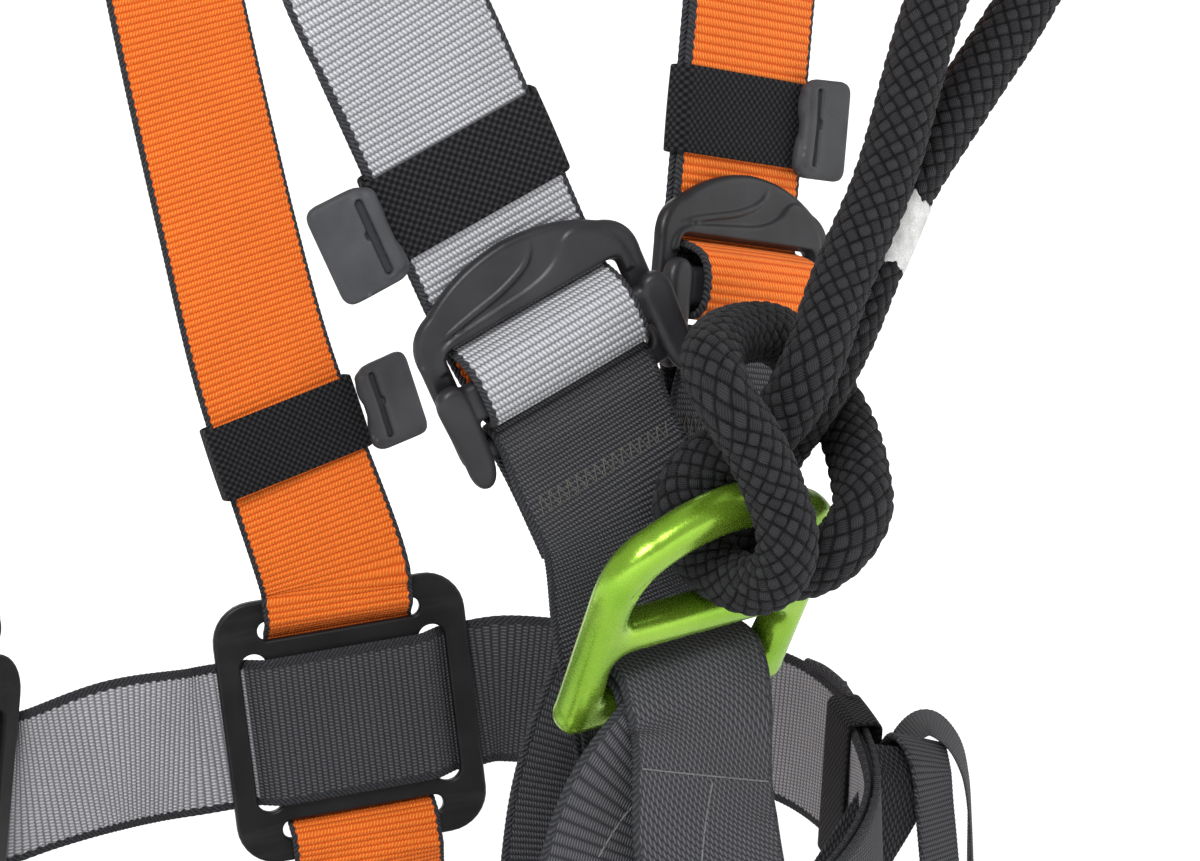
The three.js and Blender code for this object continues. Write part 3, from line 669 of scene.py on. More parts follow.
class Strap:
    """A length of webbing swept through its stations, kept so that stitches can be sewn on it."""

    def __init__(self, stations, step, thick):
        points = [p for p, _ in stations]
        faces = [n for _, n in stations]
        self.thick = thick
        t, self.along = even_way(points, step)
        self.places = t * (len(points) - 1)
        self.points = spline(points, t)
        ahead = unit(np.gradient(self.points, axis=0))
        normals = spline(faces, t)
        self.normals = unit(normals - (normals * ahead).sum(1)[:, None] * ahead)
        self.sides = np.cross(ahead, self.normals)

    def at(self, along, across, lift):
        """A point on the outer face, this far along, off the middle and over the surface."""
        rows_of = [np.array([np.interp(along, self.along, values[:, k]) for k in range(3)])
                   for values in (self.points, self.sides, self.normals)]
        return rows_of[0] + rows_of[1] * across + rows_of[2] * (self.thick / 2 + lift)

    def nearest(self, point):
        """How far along the strap passes nearest to a point."""
        return self.along[np.linalg.norm(self.points - array(*point), axis=1).argmin()]


def strip_section(width, thick, outer, inner, turns):
    """A flat strip with rounded edges: this many points on each face, and these angles round an edge."""
    edge = thick / 2
    flat = width / 2 - edge
    section = [(x, edge) for x in np.linspace(-flat, flat, outer)]
    section += [(flat + edge * math.cos(a), edge * math.sin(a)) for a in turns]
    section += [(x, -edge) for x in np.linspace(flat, -flat, inner)]
    section += [(-flat - edge * math.cos(a), edge * math.sin(a)) for a in turns[::-1]]
    return np.array(section)


def webbing(name, stations, look, rib=1.8, crown=0.14, one_sided=(), slot=None, width=WEB_WIDTH,
            thick=WEB_THICK, nodes=True, relief=0.05):
    """A woven strap with rounded selvedges and raised ribs. Between the stations of each (start, end, face)
    in one_sided it shows the outer face's colour (1) or the inner one's (-1) on both faces."""
    strap = Strap(stations, rib / (4), thick)
    section = strip_section(width, thick, 5, 5, (0.9, 0.3, -0.3, -0.9))
    ribs = np.cos(strap.along * TAU / rib)[:, None] * relief
    wide, deep = section[None, :, 0], section[None, :, 1]
    up = deep + np.sign(deep) * ribs + crown * (1 - (wide / (width / 2)) ** 2)
    out = wide + np.where(np.abs(wide) > width / 2 - thick / 2, np.sign(wide), 0) * ribs
    points = (strap.points[:, None] + strap.sides[:, None] * out[..., None]
              + strap.normals[:, None] * up[..., None])
    side = np.tile(section[:, 1] / (thick / 2), (len(strap.along), 1))
    for start, end, face in one_sided:
        side[(strap.places >= start) & (strap.places <= end)] = face
    along = np.broadcast_to(strap.along[:, None], side.shape)
    told = np.stack([np.broadcast_to(out, side.shape), along, side], -1)
    faces = tube_faces(len(strap.along), len(section))
    mesh = new_mesh(name, points.reshape(-1, 3), faces, told.reshape(-1, 3))
    add(name + "_woven", mesh, look, "webbing", [name] if nodes else [], slot=slot)
    return strap


def stitches(name, strap, seams, look, radius=0.24):
    """Sewn thread on a strap: each seam is a list of (along, across), and each stitch dips at its ends."""
    parts = []
    for seam in seams:
        for start, end in zip(seam, seam[1:]):
            shares = np.linspace(0.04, 0.96, 6)
            points = []
            for share in shares:
                lift = 0.14 * math.sin(math.pi * share) + 0.08
                where = (1 - share) * np.array(start) + share * np.array(end)
                points.append(strap.at(where[0], where[1], lift))
            parts.append(rod(points, radius, 6, 0.5))
    add(name, new_mesh(name, *joined(*parts)), look, "webbing", slot="white_thread")


def straight_seam(start, end, stitch=2.6):
    count = max(2, round(math.dist(start, end) / stitch))
    return [tuple(np.array(start) + (np.array(end) - np.array(start)) * i / count) for i in range(count + 1)]


def zigzag_seam(along, half_width, depth, pitch):
    count = round(2 * half_width / pitch)
    return [(along + (depth if i % 2 else -depth), -half_width + i * pitch) for i in range(count + 1)]


# ---- where things are ----
HIP_LEFT = frame_at((73, 93, 2), (-0.14, 0, 1), (-0.407, -0.914, 0))
HIP_RIGHT = frame_at((-68, 95, -5), (0.12, 0, 1), (0.407, -0.914, 0))
BUCKLE_RIGHT = frame_at((-25, -131, 140), (-0.47, 0, 0.883), (-0.3, -0.95, 0))
BUCKLE_LEFT = frame_at((53, -110, 147.5), (0.15, 0.05, 1), (0.12, -1, 0.05))
BUCKLE_WAIST = frame_at((-92, -113, -35), (0.86, -0.48, -0.15), (-0.5, -0.86, 0.12))
REAR_KEEPER = frame_at((53.8, 97.1, 87), (-14.5, 6.8, 50), (-0.22, -1, 0.07))
RING_FRAME = frame_at((9.5, -147, 73), (-0.1, -0.56, 0.83), (0.07, -1, -0.67))
DORSAL_FRAME = frame_at((0, 113, DORSAL_HIGH), (0, 0, 1), (0, 1, 0))
SIDE_FRAME = frame_at((153, -42, -7), (-0.4, -0.87, -0.2), (0.91, -0.42, 0))
MARKER_FRAME = frame_at((52.5, -166.6, 164.8), (10, 0.8, 16), (0, -1, 0))
BACK = (0, 1, 0)


def leg_point(side, degrees, outwards=0):
    a = math.radians(degrees)
    across = (LEG["across"] + outwards) * math.cos(a)
    back = (LEG["deep"] + outwards) * math.sin(a)
    return array(side * (LEG["out"] + across), back - 6, -LEG["down"] + LEG["rise"] * across)


def leg_face(degrees, side):
    a = math.radians(degrees)
    return unit((side * math.cos(a) / LEG["across"], math.sin(a) / LEG["deep"], 0))


def leg_buckle_frame(side):
    middle = LEG["buckle_at"]
    along = leg_point(side, middle + 1) - leg_point(side, middle - 1)
    return frame_at(leg_point(side, middle, 4), along, leg_face(middle, side))


ROLL_IN = [
    (110, -3.6, 0, 1), (70, -3.6, 0, 1), (40, -3.6, 0, 1), (24, -3.6, 0, 1), (14.5, -3.6, 0.05, 1),
    (10.6, -3.4, 0.3, 0.95), (8.7, -1.9, 0.8, 0.6), (8, 0.8, 1, 0.15), (7, 4.2, 0.9, 0.4), (5, 7.6, 0.6, 0.8),
    (1.5, 9.4, 0.2, 0.98), (-2.5, 9.8, 0, 1), (-6.5, 9.2, -0.3, 0.95), (-9.2, 7, -0.9, 0.5),
    (-9.7, 4, -1, -0.1), (-8.2, 1.4, -0.8, -0.6), (-4, -1.4, -0.4, -0.9), (2, -4.6, -0.3, -0.95),
    (8, -6.1, -0.1, -1), (14, -6.1, 0, -1),
]
ROLL_TAIL = [(26, -6.1, 0, -1), (60, -6.1, 0, -1), (84, -6.1, 0, -1)]
FIXED_FOLD = [
    (-50, -1.2, 0, -1), (-34, -1.25, 0, -1), (-27, -2, 0, -1), (-21.5, -3.3, 0, -1), (-17, -3.4, 0, -1),
    (-14.4, -3.1, 0.4, -0.9), (-13, -1.6, 0.9, -0.4), (-13, 1.6, 0.9, 0.4), (-14.4, 3.1, 0.4, 0.9),
    (-17, 3.4, 0, 1), (-21.5, 3.3, 0, 1), (-27, 2, 0, 1), (-34, 1.25, 0, 1), (-50, 1.2, 0, 1),
]
DOWN_THROUGH_PLATE = [
    (44, 3.2, 0, -1), (38, 3.2, 0, -1), (32.9, 2.8, 0.3, -1), (30.6, 0, 1, -0.6), (28.3, -2.8, 0.3, -1),
    (23, -3.1, 0, -1), (0, -3.1, 0, -1), (-23, -3.1, 0, -1), (-28.3, -2.8, -0.3, -1), (-30.6, 0, -1, -0.6),
    (-32.9, 2.8, -0.3, -1), (-38, 3.2, 0, -1), (-44, 3.3, 0, -1),
]
ACROSS_PLATE = [
    (46, -3.1), (36, -3), (30.6, -2.7), (27, 0), (23.4, 2.7), (18, 3), (0, 3),
    (-18, 3), (-23.4, 2.7), (-27, 0), (-30.6, -2.7), (-36, -3), (-46, -3.1),
]


def across_plate(at):
    out = unit(turned(at, (0, 0, -1)))
    return [(placed(at, (x, 0, z)), out) for x, z in ACROSS_PLATE]


def around_waist(table):
    return [station((x, y, z), (x / 165 ** 2, y / 118 ** 2, 0)) for x, y, z in table]


WAIST_RIGHT = around_waist([(-154, -50, -13), (-166, 0, -4), (-157, 38, -2), (-134, 63, -4)])
WAIST_LEFT = around_waist([
    (136, 64, 6), (157, 38, 4), (167, 5, 1), (153, -42, -7), (127, -82, -18), (90, -109, -29),
])
WAIST_FRONT = around_waist([(48, -123, -37), (0, -127, -41)])


def waist_belt():
    tail = [(p - n * 2.5, -n) for p, n in WAIST_LEFT[2:] + WAIST_FRONT][::-1]
    tail[5] = (tail[5][0] + array(0, -24, -3), tail[5][1])
    start = stations_in(BUCKLE_WAIST, FIXED_FOLD) + WAIST_RIGHT
    right_plate = across_plate(HIP_RIGHT)[::-1]
    left_plate = across_plate(HIP_LEFT)[::-1]
    back = [station((3, 113, -4), BACK)]
    roll = stations_in(BUCKLE_WAIST, ROLL_IN[2:] + ROLL_TAIL[:1] + [(38, -6.1, 0, -1)])
    stations = start + right_plate + back + left_plate + WAIST_LEFT + WAIST_FRONT + roll + tail
    plate_start = len(start) + len(right_plate) + len(back)
    dark = (plate_start + 2.4, plate_start + len(left_plate) + 1, 1)
    pale = (len(stations) - len(tail) - 0.5, len(stations), -1)
    webbing("waist_belt", stations, BELT_WEBBING, one_sided=[dark, pale], slot="grey_webbing")


def over_shoulder(s, lift):
    from_buckle = [(74, -99.5, 285, 0.2, -1, 0.05), (80, -96, 324, 0.22, -1, 0.15)]
    if s < 0:
        from_buckle = [(-79, -126, 262, -0.25, -1, 0.05), (-84, -118, 300, -0.25, -1, 0.2)]
    return rows(from_buckle + [
        (s * 86, -88, 382, s * 0.2, -0.8, 0.6), (s * 83, -46, 450, s * 0.1, -0.45, 0.9),
        (s * 77, 2, SHOULDER_HIGH, 0, 0.05, 1), (s * 67, 50, 462, 0, 0.55, 0.8),
        (s * 46, 92, 417, 0, 0.9, 0.35), (s * 36, 109 + lift, 393, 0, 1, 0.1),
        (s * 28, 113 + lift, 378, 0, 1, 0), (s * 14, 113 + lift, 354, 0, 1, 0),
        (0, 113 + lift, DORSAL_HIGH, 0, 1, 0),
    ])


def onto_leg_loop(s):
    down = rows([(s * 88, 101, -72, s * 0.2, 1, 0), (s * 90, 101, -115, s * 0.1, 1, 0)])
    sewn = [station(leg_point(s, 88, 4) + array(0, 0, z), BACK) for z in (22, -14)]
    return down + sewn


def shoulder_strap(name, side, lift, front, back, hip, look, rib):
    start = stations_in(front, ROLL_IN + ROLL_TAIL)[::-1] + over_shoulder(side, lift) + rows(back)
    webbing(name, start + stations_in(hip, DOWN_THROUGH_PLATE) + onto_leg_loop(-side), look, rib)


waist_belt()
shoulder_strap("shoulder_strap_right", -1, -1.6, BUCKLE_RIGHT, [
    (12, 111.4, 281, 0, 1, 0), (22, 104, 214, 0, 1, 0.04), (37, 102, 150, 0.05, 1, 0),
    (46.5, 100, 112, 0.15, 1, -0.07), (53.8, 97.1, 87, 0.22, 1, -0.07),
], HIP_LEFT, GREY_WEBBING, 1.8)
shoulder_strap("shoulder_strap_left", 1, 1.6, BUCKLE_LEFT, [
    (-10, 114.6, 309, 0, 1, 0), (-24, 114.6, 283, 0, 1, 0), (-52, 108, 241, 0, 1, 0),
    (-69, 103, 200, 0, 1, 0), (-72, 100, 150, -0.1, 1, 0), (-71, 98, 84, -0.25, 1, 0),
], HIP_RIGHT, ORANGE_WEBBING, 2.2)

FRONT_RIGHT = webbing("front_strap_right", stations_in(BUCKLE_RIGHT, FIXED_FOLD) + rows([
    (10, -121, 68, -0.2, -1, 0), (22, -114, 32, 0, -1, 0), (29, -115, -5, 0, -1, 0),
    (31, -117, -58, 0, -1, 0),
]), DARK_WEBBING, 1.4)
FRONT_LEFT = webbing("front_strap_left", stations_in(BUCKLE_LEFT, FIXED_FOLD) + rows([
    (27, -108, 66, 0.1, -1, 0), (9, -107, 32, 0, -1, 0), (0, -108, -5, 0, -1, 0), (-4, -112, -58, 0, -1, 0),
]), DARK_WEBBING, 1.4)

LOW_BAR = placed(RING_FRAME, (0, -RING["foot_drop"], 0))
RISER_FRAME = frame_at(LOW_BAR, (-0.12, 0, 1), (0, -1, 0))


def riser(name, side, r, look, rib, below):
    wrap = [
        (-30, -r + 1, 0, -1), (-8, -r, 0, -1), (1, -r + 0.2, 0.2, -1), (r * 0.72, -r * 0.72, 1, -1),
        (r, 0, 1, 0), (r * 0.72, r * 0.72, 1, 1), (1, r - 0.2, 0.2, 1), (-8, r, 0, 1),
    ]
    end = leg_point(side, -112, 5.8)
    down = [
        station((side * 56, -134, -84), (side * 0.1, -1, 0)),
        station(end + array(0, -1, 32), (side * -0.25, -1, 0)),
        station(end, (side * -0.3, -1, 0)), station(end + array(side * 4, 2, -20), (side * -0.35, -1, 0)),
    ]
    relief = 0.05 if look is DARK_RIBBED else 0.01
    return webbing(name, stations_in(RISER_FRAME, wrap) + rows(below) + down, look, rib, slot="dark_webbing",
                   relief=relief)


RISER_LEFT = riser("leg_riser_left", 1, 11.4, DARK_TWILL, 1.5,
                   [(10, -150, 18, 0, -1, 0), (22, -147, -25, 0, -1, 0)])
RISER_RIGHT = riser("leg_riser_right", -1, 8, DARK_RIBBED, 2.4,
                    [(-8, -142, 22, 0, -1, 0), (-24, -141, -20, 0, -1, 0)])


def leg_strap(word, side):
    at = leg_buckle_frame(side)
    start = LEG["buckle_at"]
    loop = [(leg_point(side, d), leg_face(d, side)) for d in range(start + 47, start + 317, 22)]
    roll = stations_in(at, ROLL_IN[2:] + ROLL_TAIL[:2])[::-1]
    fold = stations_in(at, FIXED_FOLD[:-1])[::-1]
    webbing("leg_strap_" + word, roll + loop + fold, DARK_WEBBING, 1.4)


leg_strap("left", 1)
leg_strap("right", -1)


def loose_web(name, look, rib, table, **size):
    """Webbing that shows in the picture but has no CAD solid."""
    webbing(name, rows(table), look, rib, slot="dark_webbing", nodes=False, **size)


# The belt's gathered spare web at the left side, and the tape loop that hangs over it.
loose_web("belt_fold", DARK_WEBBING, 1.4, [
    (166, -7, 21, 0.9, 0, 0.3), (165, -14, 20.5, 0.9, -0.1, 0.3), (162, -23, 19.5, 0.9, -0.3, 0.3),
    (158.5, -31, 18.5, 0.9, -0.4, 0.3), (154.5, -39, 16.5, 0.9, -0.4, 0.2),
], width=6, thick=2.6)
loose_web("spare_web_low", DARK_TWILL, 1.5, [
    (151, -64, 8, -0.3, -0.95, 0.2), (148, -68, 0, -0.4, -0.9, 0.1), (143, -66.5, -8, -0.45, -0.88, 0.1),
    (137, -62.5, -20, -0.45, -0.88, 0.1), (130, -58, -33, -0.45, -0.88, 0.1),
    (124, -54, -46, -0.45, -0.88, 0.1),
], width=19)
loose_web("spare_web_high", DARK_WEBBING, 1.4, [
    (158, -58, 6, 0, -0.2, 1), (155, -67, 10, 0.1, -0.5, 0.9), (153, -74, 4, 0.2, -0.95, 0.4),
    (153, -76, -8, 0.2, -0.97, 0.1), (154, -78, -30, 0.2, -0.97, 0), (155, -79, -55, 0.2, -0.97, 0),
], width=17)
loose_web("tape_loop", TAPE, 0.9, [
    (149, -58, -14, -1.06, 0.27, 0.06), (152, -60, 2, -1.06, 0.27, 0.06), (155, -62, 11, -0.85, 0.04, 0.77),
    (160, -65, 14.5, -0.3, -0.39, 1.06), (165, -69, 10, 0.34, -0.7, 0.75), (168, -72, 0, 0.7, -0.74, 0.22),
    (168.5, -74, -25, 0.79, -0.62, 0), (168, -74, -55, 0.79, -0.62, 0),
], width=12, thick=1)


# ---- stitching ----
def fold_stitches(word, strap, at):
    along = strap.nearest(placed(at, (0, -35, 1.2)))
    stitches(f"fold_stitches_{word}", strap, [zigzag_seam(along + 1, 19, 2.6, 1.3)], SEWN_THREAD, 0.2)


SEWN_THREAD = thread_wound("sewn_thread", colour(98, 95, 90))
PALE_THREAD = thread_wound("pale_thread", colour(118, 118, 120))
fold_stitches("right", FRONT_RIGHT, BUCKLE_RIGHT)
fold_stitches("left", FRONT_LEFT, BUCKLE_LEFT)
for strap, word, height in ((RISER_LEFT, "left", 21), (RISER_RIGHT, "right", 27)):
    along = strap.nearest(placed(RISER_FRAME, (0, -height, 12)))
    edge = straight_seam((along + 1, -20.5), (along, 20.5), 3.4)
    down = straight_seam((along + 2, -2), (along + 30, 6), 3.4)
    stitches(f"riser_stitches_{word}", strap, [edge, down], PALE_THREAD, 0.24)


# ---- buckles ----
def buckle_outline(grow=0.0):
    w, top, low = BUCKLE["half"] + grow, BUCKLE["top"] + grow, BUCKLE["low"] - grow
    shape = Outline(-w + 3, low).line(w - 3, low).curve(w, low, w, low + 4, 5).line(w, 8)
    shape.curve(w + 1, 17, w - 7, 20 + grow).curve(14, top + 1, 0, top + 1.5)
    shape.curve(-14, top + 1, -w + 7, 20 + grow).curve(-w - 1, 17, -w, 8)
    return shape.line(-w, low + 4).curve(-w, low, -w + 3, low, 5)


def buckle_frame_mesh():
    """A steel frame in a moulded coat: a raised field and a ridge that sweeps up to the crown."""
    half, top, low, thick = (BUCKLE[k] for k in ("half_window", "window_top", "window_low", "thick"))
    window = rounded_rect(2 * half, top - low, 2.5, 0, (top + low) / 2)
    body = plate(buckle_outline(), [window], thick, 1.7)
    field = Outline(-27.4, 6).curve(-27.4, 12.4, -19, 13.2).line(0, 14.4)
    field.curve(9, 15.4, 12, 19.6).curve(15, 23.4, 20, 20.8).curve(26.6, 17.6, 27.2, 9).line(27.2, 6)
    field.line(24.9, 6).line(24.9, 8).curve(24.9, 10.7, 22, 10.7, 4).line(-22, 10.7)
    field.curve(-24.9, 10.7, -24.9, 8, 4).line(-24.9, 6)
    raised = plate(field, [], 1.7, 0.7, thick / 2 + 0.05)
    ridge = rod([(-25, 13.5, thick / 2), (-14, 15.6, thick / 2), (-4, 17.6, thick / 2), (3, 20.6, thick / 2),
                 (6.5, 25, thick / 2)], lambda s: 0.75 * (1 - (2 * s - 1) ** 6) + 0.05, 12, 0.5)
    return forged("buckle_frame", joined(body, raised, ridge), 0.42, 4)


def toggle_mesh():
    """The toggle: a rounded bar that the strap rolls over, and an arm with a thumb end at each side."""
    half = BUCKLE["half"]
    bar = plate(rounded_rect(TOGGLE["bar_thick"], TOGGLE["bar_high"], 2.2), [], 2 * half - 3, 0.6)
    bar = (bar[0][:, [2, 1, 0]], bar[1])
    parts = [bar]
    for s in (-1, 1):
        arm = Outline(s * (half + 1.8), 1).curve(s * (half + 1.8), 6.6, s * (half - 2.4), 6.8)
        arm.curve(s * (half - 6.7), 6.8, s * (half - 6.7), 1).line(s * (half - 6.2), -13)
        arm.curve(s * (half - 5.6), -20.6, s * (half - 2), -20.8)
        arm.curve(s * (half + 1.4), -20.6, s * (half + 1), -14)
        parts.append(plate(arm, [], TOGGLE["arm_thick"] + 0.6, 2.1, 0.4))
    made = forged("toggle", joined(*parts), 0.42, 5)
    return moved(made, frame_at((0, TOGGLE["middle"], TOGGLE["axis_out"]), (0, 1, 0), (0, 0, 1)))


FRAME_MESH = buckle_frame_mesh()
TOGGLE_MESH = toggle_mesh()


def buckle(name, at, toggle_body):
    add(name + "_frame_moulded", moved(FRAME_MESH, at), BUCKLE_BLACK, "webbing", [name + "_frame"])
    add(name + "_toggle_moulded", moved(TOGGLE_MESH, at), BUCKLE_BLACK, toggle_body, [name + "_toggle"])


buckle("waist_buckle", BUCKLE_WAIST, "toggle_waist")
buckle("shoulder_buckle_right", BUCKLE_RIGHT, "toggle_shoulder_right")
buckle("shoulder_buckle_left", BUCKLE_LEFT, "toggle_shoulder_left")
buckle("leg_buckle_left", leg_buckle_frame(1), "toggle_leg_left")
buckle("leg_buckle_right", leg_buckle_frame(-1), "toggle_leg_right")


# ---- elastic keepers ----
def elastic_band(name, node, at, y, z, clear, body):
    """A knitted band round the strap, swept round a rounded rectangle, with soft rolled edges."""
    wide, deep, thick, height = WEB_WIDTH + 2.4, clear + 1, KEEPER["band"], KEEPER["height"]
    path = np.array(rounded_rect(wide, deep, 1.9, steps=6).points)
    path = np.vstack([path, path[:1]])
    path = path[np.concatenate([[True], np.linalg.norm(np.diff(path, axis=0), axis=1) > 0.01])]
    run = np.concatenate([[0], np.cumsum(np.linalg.norm(np.diff(path, axis=0), axis=1))])
    count = round(run[-1] / 0.55)
    along = np.arange(count) * run[-1] / count
    x, out = (np.interp(along, run, path[:, k]) for k in (0, 1))
    line = np.stack([x, out], 1)
    ahead = unit(np.roll(line, -1, 0) - np.roll(line, 1, 0))
    normal = np.stack([ahead[:, 1], -ahead[:, 0]], 1)
    section = strip_section(height, thick, 7, 3, (0.7, 0, -0.7))
    belly = section[:, 1] + 0.15 * (1 - (section[:, 0] / height * 2) ** 2)
    points = np.zeros((count, len(section), 3))
    points[..., 0] = line[:, None, 0] + normal[:, None, 0] * belly
    points[..., 2] = line[:, None, 1] + normal[:, None, 1] * belly + z
    points[..., 1] = section[None, :, 0] + y
    told = np.zeros_like(points)
    told[..., 0] = section[None, :, 0]
    told[..., 1] = along[:, None]
    points = placed(at, points.reshape(-1, 3))
    mesh = new_mesh(name, points, tube_faces(count, len(section), True), told.reshape(-1, 3))
    add(name, mesh, ELASTIC, body, [node])


def tab_mesh(side):
    """A moulded tab: softly domed, waisted towards the band, with a lipped slot for the elastic."""
    long, high, thick = KEEPER["tab_long"], KEEPER["tab_high"], KEEPER["tab_thick"]
    out, inn = side * long / 2, -side * long / 2
    shape = Outline(out, -high / 2 + 3.5).line(out, high / 2 - 3.5)
    shape.curve(out, high / 2, out - side * 3.5, high / 2, 6).line(inn + side * 5, high / 2 - 0.4)
    shape.curve(inn + side * 0.2, high / 2 - 0.6, inn - side * 0.8, high / 2 - 6)
    shape.curve(inn - side * 1.4, 2.5, inn + side * 1, 0)
    shape.curve(inn - side * 1.6, -4, inn - side * 1.4, -high / 2 + 3)
    shape.curve(inn - side * 0.8, -high / 2, inn + side * 3, -high / 2 - 0.2)
    shape.line(out - side * 3.5, -high / 2)
    shape.curve(out, -high / 2, out, -high / 2 + 3.5, 6)
    slot_x = -side * KEEPER["slot_in"]
    slot = rounded_rect(1.9, 20, 0.9, slot_x, 0)
    lip = plate(rounded_rect(4.4, 22.4, 2.1, slot_x, 0), [slot], 1.3, 0.6, thick / 2)
    ridge_way = [(-side * 7, -11.4, 0.5), (-side * 6.6, 0, 0.7), (-side * 7, 11.4, 0.5)]
    spine = rod(ridge_way, rounded_ends(2.3, 0.1))
    recess = plate(slot, [], 2.4, 0.1, thick / 2)
    notch = plate(rounded_rect(1.8, 2.6, 0.8, -side * 3.2, 1), [], 2.4, 0.2, thick / 2)
    body = plate(shape, [], thick, 1.5)
    return forged("tab", joined(body, lip, spine), 0.38, 3, [recess, notch])


TAB_MESHES = {side: tab_mesh(side) for side in (-1, 1)}


def keeper(name, at, y, z, clear, side, body, tuck=0.0):
    elastic_band(name + "_band_knit", name + "_band", at, y, z, clear, body)
    x = side * (WEB_WIDTH / 2 + 0.4 + KEEPER["band"] + KEEPER["tab_long"] / 2 - tuck)
    out = z + clear / 2 + KEEPER["band"] + 0.35 + KEEPER["tab_thick"] / 2
    spot = at.copy()
    spot[:3, 3] = placed(at, (x, y, out))
    add(name + "_tab_moulded", moved(TAB_MESHES[side], spot), TAB_PLASTIC, body, [name + "_tab"])
    # The elastic's end, laid in the tab's slot: its dark knit is also a painted shade for the depth of the
    # slot.
    strip = rounded_rect(1.8, 19.6, 0.8, -side * KEEPER["slot_in"], 0)
    strip = plate(strip, [], 0.8, 0.3, KEEPER["tab_thick"] / 2 - 0.7)
    end = new_mesh("elastic end", placed(spot, strip[0]), strip[1])
    add(name + "_elastic_end", end, ELASTIC, body)


keeper("front_keeper_right", BUCKLE_RIGHT, 45, -4.85, 5.3, -1, "keeper_front_right")
keeper("front_keeper_left", BUCKLE_LEFT, 42, -4.85, 5.3, 1, "keeper_front_left", 7)
keeper("rear_keeper_left", REAR_KEEPER, 0, 0, 6, 1, "keeper_rear_left")
elastic_band("waist_keeper_knit", "waist_keeper", SIDE_FRAME, 0, -1.25, 8.2, "webbing")


# ---- hip plates ----
def hip_plate(name, at):
    holes = []
    for s in (-1, 1):
        holes.append(rounded_rect(HIP_PLATE["slot_long"], HIP_PLATE["slot_wide"], 2.7,
                                  0, s * HIP_PLATE["slot_up"]))
        holes.append(rounded_rect(HIP_PLATE["side_slot_wide"], HIP_PLATE["side_slot_long"], 3.9,
                                  s * HIP_PLATE["side_slot_out"], 0))
    outline = rounded_rect(HIP_PLATE["width"], HIP_PLATE["height"], HIP_PLATE["corner"])
    shape = plate(outline, holes, HIP_PLATE["thick"], 0.9)
    mesh = new_mesh(name, placed(at, shape[0]), shape[1])
    add(name + "_pressed", mesh, BLACK_STEEL, "webbing", [name], weighted=True)


hip_plate("hip_plate_left", HIP_LEFT)
hip_plate("hip_plate_right", HIP_RIGHT)


# ---- ventral ring ----
def ventral_ring():
    """One forging: a crown, a crossbar and two feet joined by a low bar, with two grooves along the crown."""
    h, foot, drop = RING["half_bar"], RING["foot"], RING["foot_drop"]
    shoulder, crown, bar = RING["shoulder"], RING["crown"], RING["crossbar"]
    outer = Outline(-foot, -drop - h).line(foot, -drop - h)
    outer.curve(foot + h + 1, -drop - h, foot + h, -drop + 2)
    outer.line(bar + h, shoulder - 8).curve(bar + h, shoulder + 6, bar - 6, shoulder + 11)
    outer.curve(0, crown + h + 3, -bar + 6, shoulder + 11, 24)
    outer.curve(-bar - h, shoulder + 6, -bar - h, shoulder - 8)
    outer.line(-foot - h, -drop + 2).curve(-foot - h - 1, -drop - h, -foot, -drop - h)
    low = Outline(-foot + h, -drop + h + 3).curve(-foot + h, -drop + h, -foot + h + 3, -drop + h, 5)
    low.line(foot - h - 3, -drop + h).curve(foot - h, -drop + h, foot - h, -drop + h + 3, 5)
    low.line(bar - h, -h - 4)
    low.curve(bar - h, -h, bar - h - 4, -h, 5).line(-bar + h + 4, -h).curve(-bar + h, -h, -bar + h, -h - 4, 5)
    eye = Outline(-bar + h + 3, h).line(bar - h - 3, h).curve(bar - h + 1, h, bar - h, shoulder - 9, 6)
    eye.curve(bar - h - 1, shoulder - 2, bar - 13, shoulder + 2)
    eye.curve(0, crown - h - 1, -bar + 13, shoulder + 2, 24)
    eye.curve(-bar + h + 1, shoulder - 2, -bar + h, shoulder - 9).curve(-bar + h - 1, h, -bar + h + 3, h, 6)
    body = plate(outer, [low, eye], RING["thick"], 4.4, steps=5)
    arch = [(x, y) for x, y in eye.points if y > shoulder - 7]
    grooves = []
    for grow, z in ((1.09, 4.7), (1.19, 5.4)):
        grooves.append(rod([(x * grow, 15 + (y - 15) * grow, z) for x, y in arch[::3]], 1.15, 12, 1.5))
    mesh = moved(forged("ventral_ring", body, 0.45, 3, grooves), RING_FRAME)
    add("ventral_ring_forged", mesh, GREEN_ALLOY, "ring_and_lanyard", ["ventral_ring"])


ventral_ring()


# ---- dorsal plate and ring ----
PEGS = [(s * DORSAL["peg_out"], y) for s in (-1, 1) for y in (8, -16)]


def ring_outline(half, low):
    high = D_RING["height"] - D_RING["bar"] / 2 - D_RING["width"] / 2
    return Outline(-half, low).line(half, low).arc(0, high, half, 0, 180, 24)


